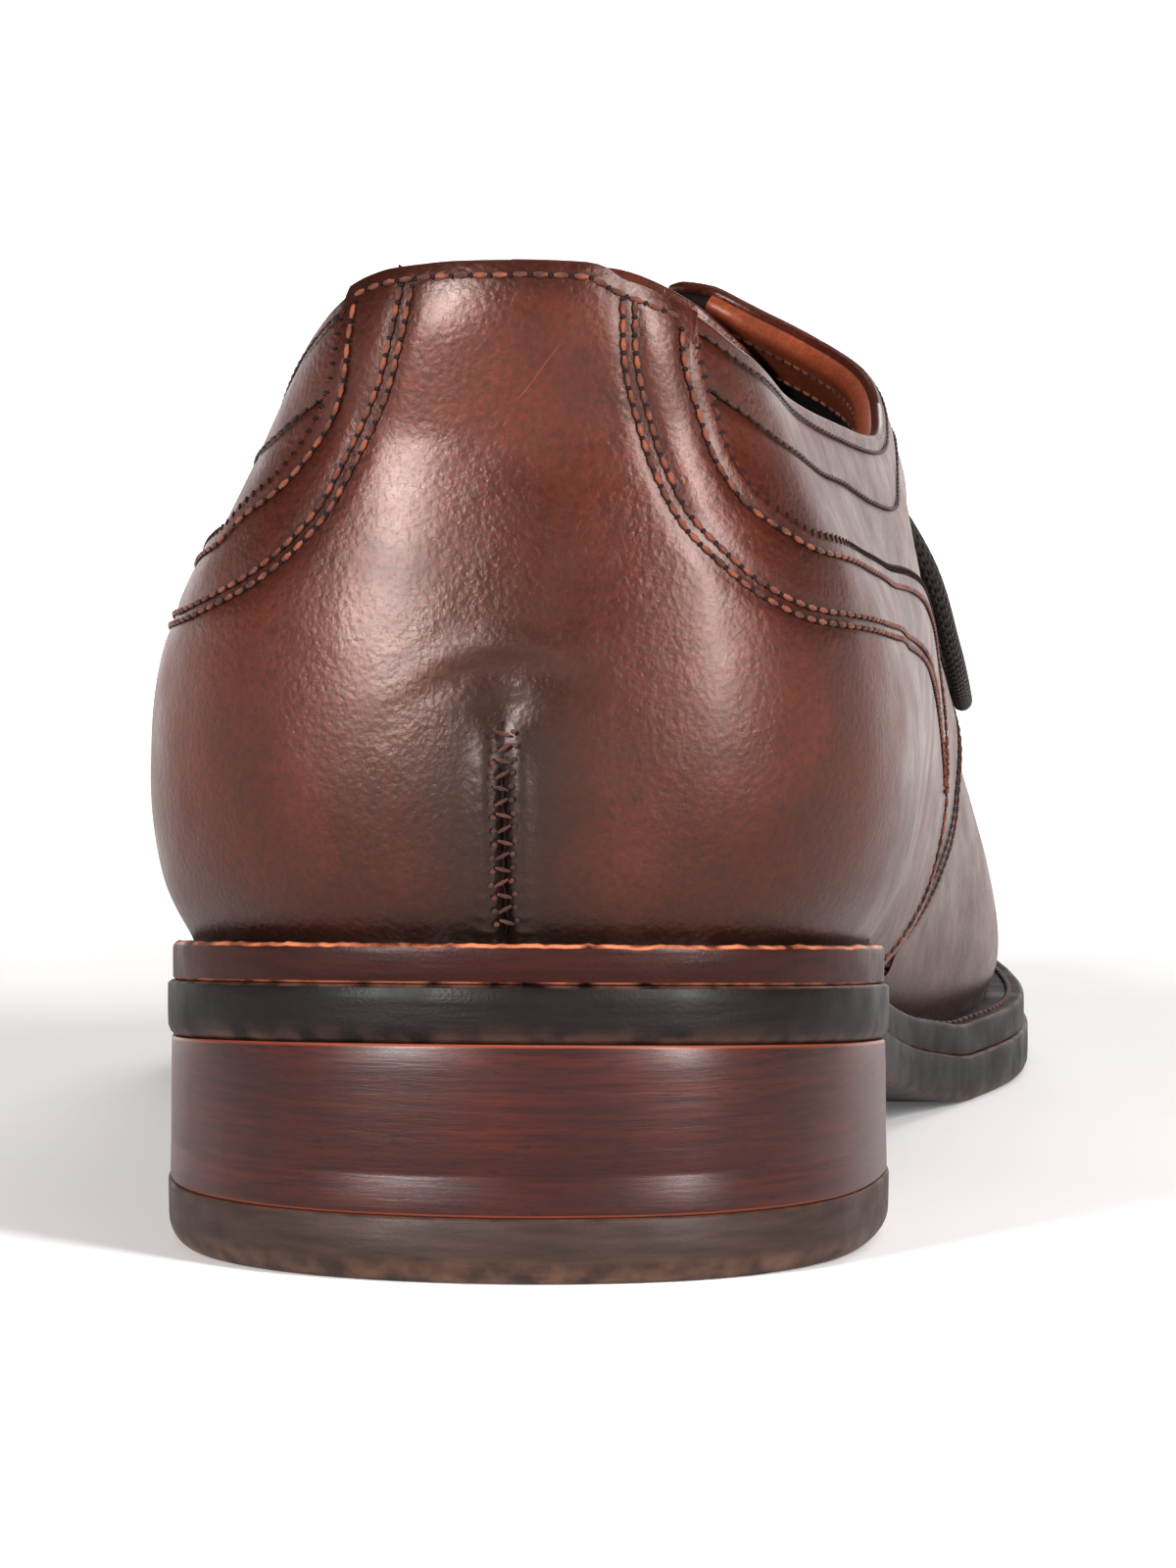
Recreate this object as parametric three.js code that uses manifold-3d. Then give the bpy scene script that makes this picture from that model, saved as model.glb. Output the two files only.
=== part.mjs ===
// A man's plain toe derby shoe, left foot, standing empty on its heel and tread.
// Millimetres, +Z up, toe along +Y, the inner (medial) side of the foot on +X.
// The origin is the middle of the heel's flat underside, on the floor.
// Inside the file "at" is the distance forward from the rearmost point of the heel.

import * as THREE from 'three';
import { mergeVertices } from 'three/addons/utils/BufferGeometryUtils.js';
import Module from 'manifold-3d';

const wasm = await Module();
wasm.setup();

// Driving sizes
const shoeLength = 305;
const ballWidth = 105;
const heelLength = 75;
const heelHeight = 22.1;
const heelPitch = 0.077;
const topLiftHeight = 6.2;
const topLiftRound = 2.4;
const heelInset = 0.2;
const heelTaper = 0.6;
const soleThickness = 5.4;
const weltThickness = 3.5;
const soleBevel = 1.2;
const toeSpring = 10;
const instepHeight = 98;
const collarHeight = 93;
const wall = 2;
const quarterStep = 1;
const foxingStep = 0.8;
const weltInset = 0.5;
const insoleThickness = 3;
const insoleInset = 4;
const insoleRound = 0.8;
const tongueThickness = 2;
const tongueClearance = 1.4;
const tongueAboveThroat = 5;
const tongueUnderVamp = 12;
const tongueSideSpare = 2;
const tongueCorner = 6;
const gap = 0.3;
const finestDetail = 0.02;
const overshoot = 5;
const sameVertex = 1e-4;

// Throat, eyelets and laces
const throatStart = 132;
const throatEnd = 181;
const throatTopHalfGap = 8;
const throatEndHalfGap = 5;
const throatCorner = 5;
const eyeletPairs = 4;
const eyeletFirstAt = 143;
const eyeletPitch = 11;
const eyeletFromEdge = 8;
const eyeletHoleRadius = 2.3;
const eyeletBore = 1.4;
const eyeletBarrel = 1.9;
const eyeletFlange = 3.4;
const eyeletFlangeThickness = 0.5;
const eyeletSunk = 0.2;
const eyeletSides = 12;
const laceDiameter = 2.4;
const laceLift = 0.45;
const knotHalfWidth = 6.4;
const knotHalfLength = 4.9;
const knotHalfHeight = 3;
const knotAt = 148.2;

const leather = { color: 0x5f2e22, roughness: 0.42, metalness: 0 };
const darkLeather = { color: 0x1c1614, roughness: 0.6, metalness: 0 };
const randLeather = { color: 0x6e3c2d, roughness: 0.5, metalness: 0 };
const blackEdge = { color: 0x2f2423, roughness: 0.45, metalness: 0 };
const stackedHeel = { color: 0x64281e, roughness: 0.4, metalness: 0 };
const heelRubber = { color: 0x3a302e, roughness: 0.7, metalness: 0 };
const eyeletMetal = { color: 0x8a8580, roughness: 0.35, metalness: 0.9 };
const laceCotton = { color: 0x18120f, roughness: 0.85, metalness: 0 };

// Half widths of the shoe at each station, in percent of the ball width.
// edge is the sole's edge, feather is where the upper meets the sole, and the
// others are the levels of the last named in levelHeights.
const medialSide = [
  { at: 12.5, edge: 31.9, feather: 28.0, low: 31.3, bulge: 32.8, mid: 31.2, high: 24.6, top: 15.2 },
  { at: 19.7, edge: 30.4, feather: 27.0, low: 30.7, bulge: 32.6, mid: 31.6, high: 27.2, top: 20.0 },
  { at: 27.9, edge: 29.0, feather: 25.7, low: 29.6, bulge: 32.1, mid: 32.6, high: 30.2, top: 21.9 },
  { at: 36.1, edge: 29.0, feather: 25.7, low: 29.5, bulge: 32.2, mid: 33.1, high: 31.6, top: 24.8 },
  { at: 44.3, edge: 31.9, feather: 28.1, low: 31.4, bulge: 33.3, mid: 33.8, high: 32.0, top: 24.8 },
  { at: 52.5, edge: 38.1, feather: 33.3, low: 35.4, bulge: 36.2, mid: 35.8, high: 34.1, top: 25.9 },
  { at: 60.7, edge: 43.1, feather: 38.1, low: 39.6, bulge: 39.8, mid: 38.6, high: 34.6, top: 25.0 },
  { at: 68.9, edge: 44.0, feather: 39.0, low: 40.3, bulge: 40.0, mid: 37.7, high: 32.8, top: 22.9 },
  { at: 76.1, edge: 41.8, feather: 36.9, low: 38.1, bulge: 37.6, mid: 35.2, high: 30.2, top: 21.2 },
  { at: 82.6, edge: 37.3, feather: 32.4, low: 33.5, bulge: 32.9, mid: 30.6, high: 26.2, top: 18.6 },
];
const lateralSide = [
  { edge: 34.9, feather: 30.6, low: 33.7, bulge: 34.7, mid: 33.0, high: 25.4, top: 15.2 },
  { edge: 34.2, feather: 30.4, low: 33.5, bulge: 34.5, mid: 32.6, high: 26.5, top: 18.4 },
  { edge: 33.6, feather: 30.1, low: 33.1, bulge: 34.6, mid: 33.4, high: 28.5, top: 20.7 },
  { edge: 35.2, feather: 31.4, low: 34.7, bulge: 36.2, mid: 35.4, high: 31.2, top: 22.9 },
  { edge: 42.9, feather: 38.6, low: 41.0, bulge: 41.3, mid: 39.0, high: 34.0, top: 24.6 },
  { edge: 51.4, feather: 46.7, low: 48.6, bulge: 48.0, mid: 44.8, high: 37.4, top: 26.0 },
  { edge: 56.2, feather: 51.2, low: 52.4, bulge: 51.2, mid: 46.6, high: 38.3, top: 26.2 },
  { edge: 54.6, feather: 49.5, low: 50.5, bulge: 49.2, mid: 44.8, high: 36.4, top: 25.0 },
  { edge: 48.8, feather: 43.7, low: 44.7, bulge: 43.5, mid: 39.4, high: 33.0, top: 23.0 },
  { edge: 41.8, feather: 36.8, low: 37.8, bulge: 36.9, mid: 34.0, high: 29.1, top: 20.5 },
];
// The crest of the last: height in percent of the instep height, sideways
// place in percent of the ball width
const crestLine = [
  { height: 114.3, side: -1.4 },
  { height: 114.3, side: -1.4 },
  { height: 112.2, side: -1.4 },
  { height: 107.1, side: -1 },
  { height: 99, side: -1.4 },
  { height: 83.7, side: -1.4 },
  { height: 68.9, side: -1.4 },
  { height: 58.2, side: -1 },
  { height: 51, side: 0 },
  { height: 46.4, side: 1.4 },
];
// Reach of each level behind the first station and ahead of the last one, as
// shares of the sole edge's reach there
const heelBack = { edge: 1, feather: 0.868, low: 0.921, bulge: 0.947, mid: 0.926, high: 0.868, top: 0.81 };
const toeTip = { edge: 1, feather: 0.896, low: 0.911, bulge: 0.9, mid: 0.845, high: 0.735, top: 0.51 };
// How square the heel is in plan at each level: 2 is an ellipse
const heelSquareness = { edge: 2.2, feather: 2.2, low: 2.2, bulge: 2.3, mid: 2.4, high: 2.7, top: 2.9 };
const heelFan = 3;
const heelSwing = 1.5;
// Plan of the toe past the last station: along in shares of the reach to the
// tip, across in shares of the half width at the last station
const toePlan = [
  { along: 0.3, across: 0.87 },
  { along: 0.6, across: 0.72 },
  { along: 0.87, across: 0.44 },
  { along: 1, across: 0 },
];
const toeSwing = 2.4;

// Heights of the levels, as shares of the way from the feather line to the crest
const levelHeights = { feather: 0, low: 0.08, bulge: 0.2, mid: 0.35, high: 0.55, top: 0.8, crest: 1 };
const levelNames = Object.keys(levelHeights);

// Underside of the sole ahead of the heel: at in percent of the shoe length,
// arch in shares of the heel height, spring in shares of the toe spring
const soleUnderside = [
  { at: 32.8, arch: 0.52, spring: 0 },
  { at: 41, arch: 0.26, spring: 0 },
  { at: 47.5, arch: 0.09, spring: 0 },
  { at: 53.5, arch: 0, spring: 0 },
  { at: 67, arch: 0, spring: 0 },
  { at: 76, arch: 0, spring: 0.1 },
  { at: 86, arch: 0, spring: 0.38 },
  { at: 100, arch: 0, spring: 1 },
];

// The collar from the back forward on each side: at in millimetres, height in
// shares of the collar height
const medialCollar = [
  { at: -10, height: 1.003 },
  { at: 4, height: 1 },
  { at: 5.5, height: 0.98 },
  { at: 9, height: 0.95 },
  { at: 15, height: 0.917 },
  { at: 25, height: 0.892 },
  { at: 36, height: 0.872 },
  { at: 48, height: 0.854 },
  { at: 62, height: 0.841 },
  { at: 76, height: 0.833 },
  { at: 90, height: 0.838 },
  { at: 100, height: 0.864 },
  { at: 115, height: 0.925 },
  { at: 125, height: 0.97 },
  { at: 131, height: 1.012 },
  { at: 134, height: 1.1 },
];
const lateralCollar = [
  { at: -10, height: 1.003 },
  { at: 5, height: 0.998 },
  { at: 12, height: 0.965 },
  { at: 20, height: 0.92 },
  { at: 30, height: 0.877 },
  { at: 45, height: 0.834 },
  { at: 65, height: 0.797 },
  { at: 88, height: 0.787 },
  { at: 100, height: 0.823 },
  { at: 115, height: 0.893 },
  { at: 125, height: 0.952 },
  { at: 131, height: 1.012 },
  { at: 134, height: 1.1 },
];
// Front edge of the quarters, from over the crest down and back to the sole
const quarterEdge = [
  { at: 196, height: 0.82 },
  { at: 190, height: 0.66 },
  { at: 181, height: 0.57 },
  { at: 172, height: 0.5 },
  { at: 164, height: 0.43 },
  { at: 154, height: 0.35 },
  { at: 138, height: 0.27 },
  { at: 120, height: 0.2 },
  { at: 104, height: 0.1 },
];
// Upper edge of the heel foxing, from the collar forward and down to the sole
const foxingEdge = [
  { at: 8.3, height: 1.1 },
  { at: 8.3, height: 0.9 },
  { at: 8.6, height: 0.82 },
  { at: 10.5, height: 0.772 },
  { at: 15, height: 0.744 },
  { at: 30, height: 0.718 },
  { at: 52, height: 0.698 },
  { at: 78, height: 0.683 },
  { at: 104, height: 0.655 },
  { at: 126, height: 0.6 },
  { at: 138, height: 0.52 },
  { at: 140, height: 0.43 },
  { at: 133, height: 0.33 },
  { at: 118, height: 0.24 },
  { at: 98, height: 0.1 },
];

// Routes of the bow's loops and ends, as sideways place, at and height
const loopRoutes = {
  medial: [
    [6.4, 149.6, 92.7], [17.9, 150.4, 84.2], [27.2, 154, 74.7], [34.2, 159.5, 63.7],
    [37.2, 166.3, 53.6], [38.3, 172.3, 48.2], [38.2, 177.4, 46.9], [36.4, 179, 50.6],
    [32.9, 175.3, 58.4], [27.3, 168.2, 67.8], [21, 161.1, 78.8], [11, 155.4, 88.4],
    [6.4, 153.4, 91.2],
  ],
  lateral: [
    [-9.2, 149.6, 92.7], [-18.9, 150.3, 84.6], [-27.2, 154, 74.9], [-34.6, 159.6, 64],
    [-39.1, 166.4, 54.2], [-41.3, 172.4, 48.7], [-41.2, 177.5, 47.4], [-38.5, 179.1, 51],
    [-33.9, 175.3, 58.8], [-27.7, 168.1, 68], [-21.8, 161, 78.7], [-13, 155.4, 88.6],
    [-9, 153.6, 91.2],
  ],
};
const endRoutes = {
  medial: [[3.6, 155.4, 91.2], [13.1, 162.4, 83], [22.1, 169.8, 72.2], [28.7, 179.1, 61.2], [33.2, 188.7, 52]],
  lateral: [[-6, 155.4, 91.2], [-13.2, 162.4, 83.7], [-22.2, 169.7, 72.7], [-28.6, 179, 61.9], [-32.9, 188.8, 54.3]],
};

function catmullRom(a, b, c, d, t) {
  const linear = c - a;
  const square = 2 * a - 5 * b + 4 * c - d;
  const cube = 3 * (b - c) + d - a;
  return 0.5 * (2 * b + linear * t + square * t * t + cube * t * t * t);
}

function splinePoint(a, b, c, d, t) {
  if (b.equals(c)) return b.clone();
  return new THREE.Vector3(
    catmullRom(a.x, b.x, c.x, d.x, t),
    catmullRom(a.y, b.y, c.y, d.y, t),
    catmullRom(a.z, b.z, c.z, d.z, t),
  );
}

// Height read from a table whose rows hold at and height, by a curve that
// never overshoots its rows
function heightAt(rows, at) {
  if (at <= rows[0].at) return rows[0].height;
  const last = rows.length - 1;
  if (at >= rows[last].at) return rows[last].height;
  const i = rows.findIndex((row) => at < row.at) - 1;
  const slopeOf = (k) => (rows[k + 1].height - rows[k].height) / (rows[k + 1].at - rows[k].at);
  const tangentAt = (k) => {
    if (k === 0) return slopeOf(0);
    if (k === last) return slopeOf(last - 1);
    const before = slopeOf(k - 1);
    const after = slopeOf(k);
    return before * after <= 0 ? 0 : (2 * before * after) / (before + after);
  };
  const span = rows[i + 1].at - rows[i].at;
  const t = (at - rows[i].at) / span;
  const rise = t * t * (3 - 2 * t);
  const leave = t * (1 - t) * (1 - t) * span * tangentAt(i);
  const arrive = t * t * (t - 1) * span * tangentAt(i + 1);
  return rows[i].height + (rows[i + 1].height - rows[i].height) * rise + leave + arrive;
}

const breastHeight = heelHeight - heelPitch * heelLength;
const undersideRows = [
  { at: 0, height: heelHeight },
  { at: heelLength, height: breastHeight },
  ...soleUnderside.map((row) => ({
    at: (row.at / 100) * shoeLength,
    height: row.arch * heelHeight + row.spring * toeSpring,
  })),
];

function soleBottom(at) {
  return at < heelLength ? heelHeight - heelPitch * at : heightAt(undersideRows, at);
}

function outsoleTop(at) {
  return soleBottom(at) + soleThickness;
}

function soleTop(at) {
  return outsoleTop(at) + gap + weltThickness;
}

// Stations round the whole shoe: the back, the medial side, the toe, the
// lateral side. Each has a place in plan for every level.
const stations = medialSide.map((row) => (row.at / 100) * shoeLength);
const heelCentre = stations[0];
const toeCentre = stations[stations.length - 1];
const crests = crestLine.map((row, i) => new THREE.Vector3(
  (row.side / 100) * ballWidth,
  stations[i],
  (row.height / 100) * instepHeight,
));
const ridgeSlopes = crests.map((crest, i) => {
  if (i === 0) return 0;
  const ahead = crests[Math.min(i + 1, crests.length - 1)];
  const behind = crests[i - 1];
  return (ahead.z - behind.z) / (ahead.y - behind.y);
});

function planRow(side, index, name) {
  const sign = side === 'medial' ? 1 : -1;
  const table = side === 'medial' ? medialSide : lateralSide;
  return sign * (table[index][name] / 100) * ballWidth;
}

// Plan places of one level round the shoe, each with the crest it rises to
function levelRing(name) {
  const lastStation = stations.length - 1;
  const heelPlace = (side, step) => {
    const turn = (step / heelFan) * (Math.PI / 2);
    const power = 2 / heelSquareness[name];
    const along = Math.cos(turn) ** power;
    const across = Math.sin(turn) ** power;
    const half = planRow(side, 0, name) - crests[0].x;
    const reach = heelBack[name] * heelCentre;
    const swing = heelSwing * along * along;
    const place = new THREE.Vector2(crests[0].x + half * across + swing, heelCentre - reach * along);
    return { place, crest: crests[0], slope: ridgeSlopes[0] };
  };
  const toePlace = (side, step) => {
    const { along, across } = toePlan[step];
    const crest = crests[lastStation];
    const half = planRow(side, lastStation, name) - crest.x;
    const reach = toeTip[name] * (shoeLength - toeCentre);
    const swing = toeSwing * along * along;
    const place = new THREE.Vector2(crest.x + half * across + swing, toeCentre + reach * along);
    return { place, crest, slope: ridgeSlopes[lastStation] };
  };
  const sidePlaces = (side) => stations.map((at, i) => (
    { place: new THREE.Vector2(planRow(side, i, name), at), crest: crests[i], slope: ridgeSlopes[i] }
  ));
  const steps = (count) => [...Array(count).keys()];
  const heelSteps = steps(heelFan);
  const toeSteps = steps(toePlan.length);
  const tip = toeSteps.length - 1;
  return [
    ...heelSteps.map((step) => heelPlace('medial', step)),
    ...sidePlaces('medial'),
    ...toeSteps.map((step) => toePlace('medial', step)),
    ...toeSteps.slice(0, tip).reverse().map((step) => toePlace('lateral', step)),
    ...sidePlaces('lateral').reverse(),
    ...heelSteps.slice(1).reverse().map((step) => heelPlace('lateral', step)),
  ];
}

const bodyLevels = levelNames.slice(0, -1);
const rings = Object.fromEntries(['edge', ...bodyLevels].map((name) => [name, levelRing(name)]));
const rowCount = rings.edge.length;

// Control points of the last: one column of levels for each station
const columns = rings.feather.map((foot, i) => {
  const base = soleTop(foot.place.y) + gap;
  const points = bodyLevels.map((name) => {
    const { place, crest } = rings[name][i];
    return new THREE.Vector3(place.x, place.y, base + levelHeights[name] * (crest.z - base));
  });
  const crest = foot.crest.clone();
  const top = points[points.length - 1];
  const beyond = new THREE.Vector3(
    2 * crest.x - top.x,
    2 * crest.y - top.y,
    top.z - 2 * foot.slope * (top.y - crest.y),
  );
  const foreRun = points[0].clone().multiplyScalar(2).sub(points[1]);
  return [foreRun, ...points, crest, beyond];
});
const levelSpans = levelNames.length - 1;

const normalStep = 0.02;

function wrap(i) {
  return ((i % rowCount) + rowCount) % rowCount;
}

// A point of the last: u counts stations round the shoe, v counts levels up
function lastPoint(u, v) {
  const row = Math.floor(u);
  const level = Math.min(Math.floor(v), levelSpans - 1);
  const across = [0, 1, 2, 3].map((k) => {
    const near = [-1, 0, 1, 2].map((step) => columns[wrap(row + step)][level + k]);
    return splinePoint(...near, u - row);
  });
  return splinePoint(...across, v - level);
}

function lastNormal(u, v) {
  const step = normalStep;
  if (v > levelSpans - step) {
    const row = Math.floor(u);
    const slope = THREE.MathUtils.lerp(
      rings.feather[wrap(row)].slope,
      rings.feather[wrap(row + 1)].slope,
      u - row,
    );
    return new THREE.Vector3(0, -slope, 1).normalize();
  }
  const along = lastPoint(u + step, v).sub(lastPoint(u - step, v));
  const up = lastPoint(u, v + step).sub(lastPoint(u, Math.max(v - step, 0)));
  const normal = along.cross(up);
  if (v === 0) normal.setZ(0);
  return normal.normalize();
}

function toSolid(geometry) {
  geometry.deleteAttribute('normal');
  geometry.deleteAttribute('uv');
  const merged = mergeVertices(geometry, sameVertex);
  const index = merged.index.array;
  const kept = [];
  for (let i = 0; i < index.length; i += 3) {
    const [a, b, c] = index.slice(i, i + 3);
    if (a !== b && b !== c && c !== a) kept.push(a, b, c);
  }
  return new wasm.Manifold(new wasm.Mesh({
    numProp: 3,
    vertProperties: new Float32Array(merged.attributes.position.array),
    triVerts: new Uint32Array(kept),
  }));
}

// A closed solid through rings of points, with its first and last ring capped
// straight across from side to side
function loft(layers) {
  const count = layers[0].length;
  const positions = layers.flat().flatMap((point) => [point.x, point.y, point.z]);
  const faces = [];
  for (let k = 0; k + 1 < layers.length; k += 1) {
    for (let i = 0; i < count; i += 1) {
      const a = k * count + i;
      const b = k * count + ((i + 1) % count);
      faces.push(a, b, b + count, a, b + count, a + count);
    }
  }
  const cap = (layer, flip) => {
    const first = layer * count;
    for (let i = 0; i < count / 2; i += 1) {
      const medial = first + i;
      const medialNext = first + i + 1;
      const lateral = first + ((count - i) % count);
      const lateralNext = first + ((count - i - 1) % count);
      const quads = [[medial, lateral, lateralNext], [medial, lateralNext, medialNext]];
      for (const [a, b, c] of quads) faces.push(...(flip ? [a, c, b] : [a, b, c]));
    }
  };
  cap(0, false);
  cap(layers.length - 1, true);
  const geometry = new THREE.BufferGeometry();
  geometry.setAttribute('position', new THREE.Float32BufferAttribute(positions, 3));
  geometry.setIndex(faces);
  return toSolid(geometry);
}

const aroundSteps = rowCount * 2;
// Rings drawn in each span between levels, closer together near the crest
const spanRings = [2, 2, 2, 2, 2, 4];
const ringLevels = spanRings.flatMap((count, span) => (
  [...Array(count).keys()].map((k) => span + k / count)
)).concat(levelSpans);

// The closed form of the last grown by offset, its foot carried down by drop
function lastForm(offset, drop = 0) {
  const layers = ringLevels.map((v) => {
    const layer = [];
    for (let i = 0; i < aroundSteps; i += 1) {
      const u = (i / aroundSteps) * rowCount;
      layer.push(lastPoint(u, v).addScaledVector(lastNormal(u, v), offset));
    }
    return layer;
  });
  if (drop > 0) {
    const foot = layers[0].map((point) => point.clone().setZ(point.z - drop));
    layers.unshift(foot);
  }
  return loft(layers);
}

// Plan outline of a level, drawn in by inset millimetres
function outline(name, inset) {
  const places = rings[name].map((row) => new THREE.Vector3(row.place.x, row.place.y, 0));
  const near = (row, step) => places[wrap(row + step)];
  const points = [];
  for (let i = 0; i < aroundSteps; i += 1) {
    const u = (i / aroundSteps) * rowCount;
    const row = Math.floor(u);
    points.push(splinePoint(near(row, -1), near(row, 0), near(row, 1), near(row, 2), u - row));
  }
  return points.map((point, i) => {
    const before = points[(i + aroundSteps - 1) % aroundSteps];
    const after = points[(i + 1) % aroundSteps];
    const along = after.clone().sub(before).normalize();
    return new THREE.Vector3(point.x - along.y * inset, point.y + along.x * inset, 0);
  });
}

// A plate whose rings each take an outline, an inset and a height function
function plate(name, ringList) {
  return loft(ringList.map(({ inset, height }) => outline(name, inset).map((point) => (
    new THREE.Vector3(point.x, point.y, height(point.y))
  ))));
}

// A solid drawn in side view, at and height, running from side to side
function sideBlock(points, from, to) {
  const shape = new THREE.Shape(points.map((point) => new THREE.Vector2(point.x, point.y)));
  const geometry = new THREE.ExtrudeGeometry(shape, { depth: to - from, bevelEnabled: false });
  const position = geometry.attributes.position;
  for (let i = 0; i < position.count; i += 1) {
    const at = position.getX(i);
    const height = position.getY(i);
    position.setXYZ(i, from + position.getZ(i), at, height);
  }
  return toSolid(geometry);
}

// A solid drawn in plan, running from one height to another
function planBlock(points, from, to) {
  const shape = new THREE.Shape(points.map((point) => new THREE.Vector2(point.x, point.y)));
  const geometry = new THREE.ExtrudeGeometry(shape, { depth: to - from, bevelEnabled: false });
  geometry.translate(0, 0, from);
  return toSolid(geometry);
}

function smoothLine(rows, unit) {
  const curve = new THREE.SplineCurve(rows.map((row) => new THREE.Vector2(row.at, row.height * unit)));
  return curve.getPoints((rows.length - 1) * 2);
}

// Reaches of the cutting blocks, past the shoe on every side
const farSide = ballWidth;
const farAhead = shoeLength * 1.2;
const farBehind = -heelLength;
const farUp = instepHeight * 1.5;
const farDown = -heelHeight;

function corner(at, height) {
  return new THREE.Vector2(at, height);
}

function collarCut(rows, from, to) {
  const line = smoothLine(rows, collarHeight);
  const lastRow = line[line.length - 1];
  return sideBlock([...line, corner(lastRow.x, farUp), corner(line[0].x, farUp)], from, to);
}

function behindEdge(rows) {
  const line = smoothLine(rows, collarHeight);
  const foot = line[line.length - 1];
  const points = [...line, corner(foot.x, farDown), corner(farBehind, farDown), corner(farBehind, farUp)];
  return sideBlock([...points, corner(line[0].x, farUp)], -farSide, farSide);
}

function throatHalfGap(at) {
  const share = (at - throatStart) / (throatEnd - throatStart);
  return THREE.MathUtils.lerp(throatTopHalfGap, throatEndHalfGap, share);
}

function crestAt(at) {
  const rows = crests.map((crest) => ({ at: crest.y, height: crest.x }));
  return heightAt(rows, at);
}

function throatCut(end, rounded) {
  const start = throatStart - heelLength / 3;
  const side = (sign, at, wider) => (
    new THREE.Vector2(crestAt(at) + sign * (throatHalfGap(at) + wider), at)
  );
  const points = [
    side(-1, start, throatCorner),
    side(1, start, throatCorner),
    side(1, throatStart, throatCorner),
    side(1, throatStart + throatCorner / 2, throatCorner / 3),
    side(1, throatStart + throatCorner, 0),
    side(1, end, 0),
  ];
  if (rounded) points.push(new THREE.Vector2(crestAt(end), end + throatEndHalfGap));
  points.push(
    side(-1, end, 0),
    side(-1, throatStart + throatCorner, 0),
    side(-1, throatStart + throatCorner / 2, throatCorner / 3),
    side(-1, throatStart, throatCorner),
  );
  return planBlock(points, collarHeight / 2, farUp);
}

// Finds the station count u and level count v of the last over a place in plan
function overPlan(x, at) {
  const side = x > crestAt(at) ? 1 : -1;
  let best = { u: 0, v: 0, miss: Infinity };
  const search = (uFrom, uTo, vFrom, vTo, parts) => {
    for (let i = 0; i <= parts; i += 1) {
      for (let k = 0; k <= parts; k += 1) {
        const u = THREE.MathUtils.lerp(uFrom, uTo, i / parts);
        const v = THREE.MathUtils.lerp(vFrom, vTo, k / parts);
        const point = lastPoint(u, v);
        const miss = Math.hypot(point.x - x, point.y - at);
        if (miss < best.miss) best = { u, v, miss };
      }
    }
  };
  const firstStation = side > 0 ? heelFan : rowCount / 2 + toePlan.length;
  const coarseParts = 40;
  const fineParts = 6;
  search(firstStation, firstStation + stations.length - 1, levelSpans / 2, levelSpans, coarseParts);
  for (let reach = 1 / 4; reach > 1 / 1000; reach /= 3) {
    const { u, v } = best;
    search(u - reach, u + reach, v - reach, Math.min(v + reach, levelSpans), fineParts);
  }
  return best;
}

function eyeletPlaces() {
  const places = [];
  for (let pair = 0; pair < eyeletPairs; pair += 1) {
    const at = eyeletFirstAt + pair * eyeletPitch;
    for (const sign of [1, -1]) {
      const x = crestAt(at) + sign * (throatHalfGap(at) + eyeletFromEdge);
      const { u, v } = overPlan(x, at);
      const side = sign > 0 ? 'medial' : 'lateral';
      places.push({ name: `${side}_${pair + 1}`, point: lastPoint(u, v), normal: lastNormal(u, v) });
    }
  }
  return places;
}

const eyelets = eyeletPlaces();

function turned(profile, place) {
  const points = profile.map(([radius, height]) => new THREE.Vector2(radius, height));
  const geometry = new THREE.LatheGeometry(points, eyeletSides);
  const up = new THREE.Vector3(0, 1, 0);
  geometry.applyQuaternion(new THREE.Quaternion().setFromUnitVectors(up, place.normal));
  geometry.translate(place.point.x, place.point.y, place.point.z);
  return geometry;
}

function eyeletHole(place) {
  const above = quarterStep + wall;
  const below = -wall * 2;
  const seatRadius = eyeletFlange + gap;
  return toSolid(turned([
    [0, below],
    [seatRadius, below],
    [seatRadius, -wall],
    [eyeletHoleRadius, -wall],
    [eyeletHoleRadius, above],
    [0, above],
  ], place));
}

function eyelet(place) {
  const top = quarterStep - eyeletSunk;
  const under = -wall - gap;
  const foot = under - eyeletFlangeThickness;
  return toSolid(turned([
    [eyeletBore, foot],
    [eyeletFlange, foot],
    [eyeletFlange, under],
    [eyeletBarrel, under],
    [eyeletBarrel, top],
    [eyeletBore, top],
    [eyeletBore, foot],
  ], place));
}

function makeUpper() {
  const slotAhead = throatCut(throatEnd + tongueUnderVamp * 2, false);
  const quarters = lastForm(quarterStep)
    .intersect(behindEdge(quarterEdge))
    .subtract(slotAhead);
  const foxing = lastForm(quarterStep + foxingStep).intersect(behindEdge(foxingEdge));
  let upper = lastForm(0).add(quarters).add(foxing);
  upper = upper.subtract(lastForm(-wall, heelHeight));
  upper = upper.subtract(collarCut(medialCollar, 0, farSide));
  upper = upper.subtract(collarCut(lateralCollar, -farSide, 0));
  upper = upper.subtract(throatCut(throatEnd, true));
  for (const place of eyelets) upper = upper.subtract(eyeletHole(place));
  return upper;
}

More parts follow.
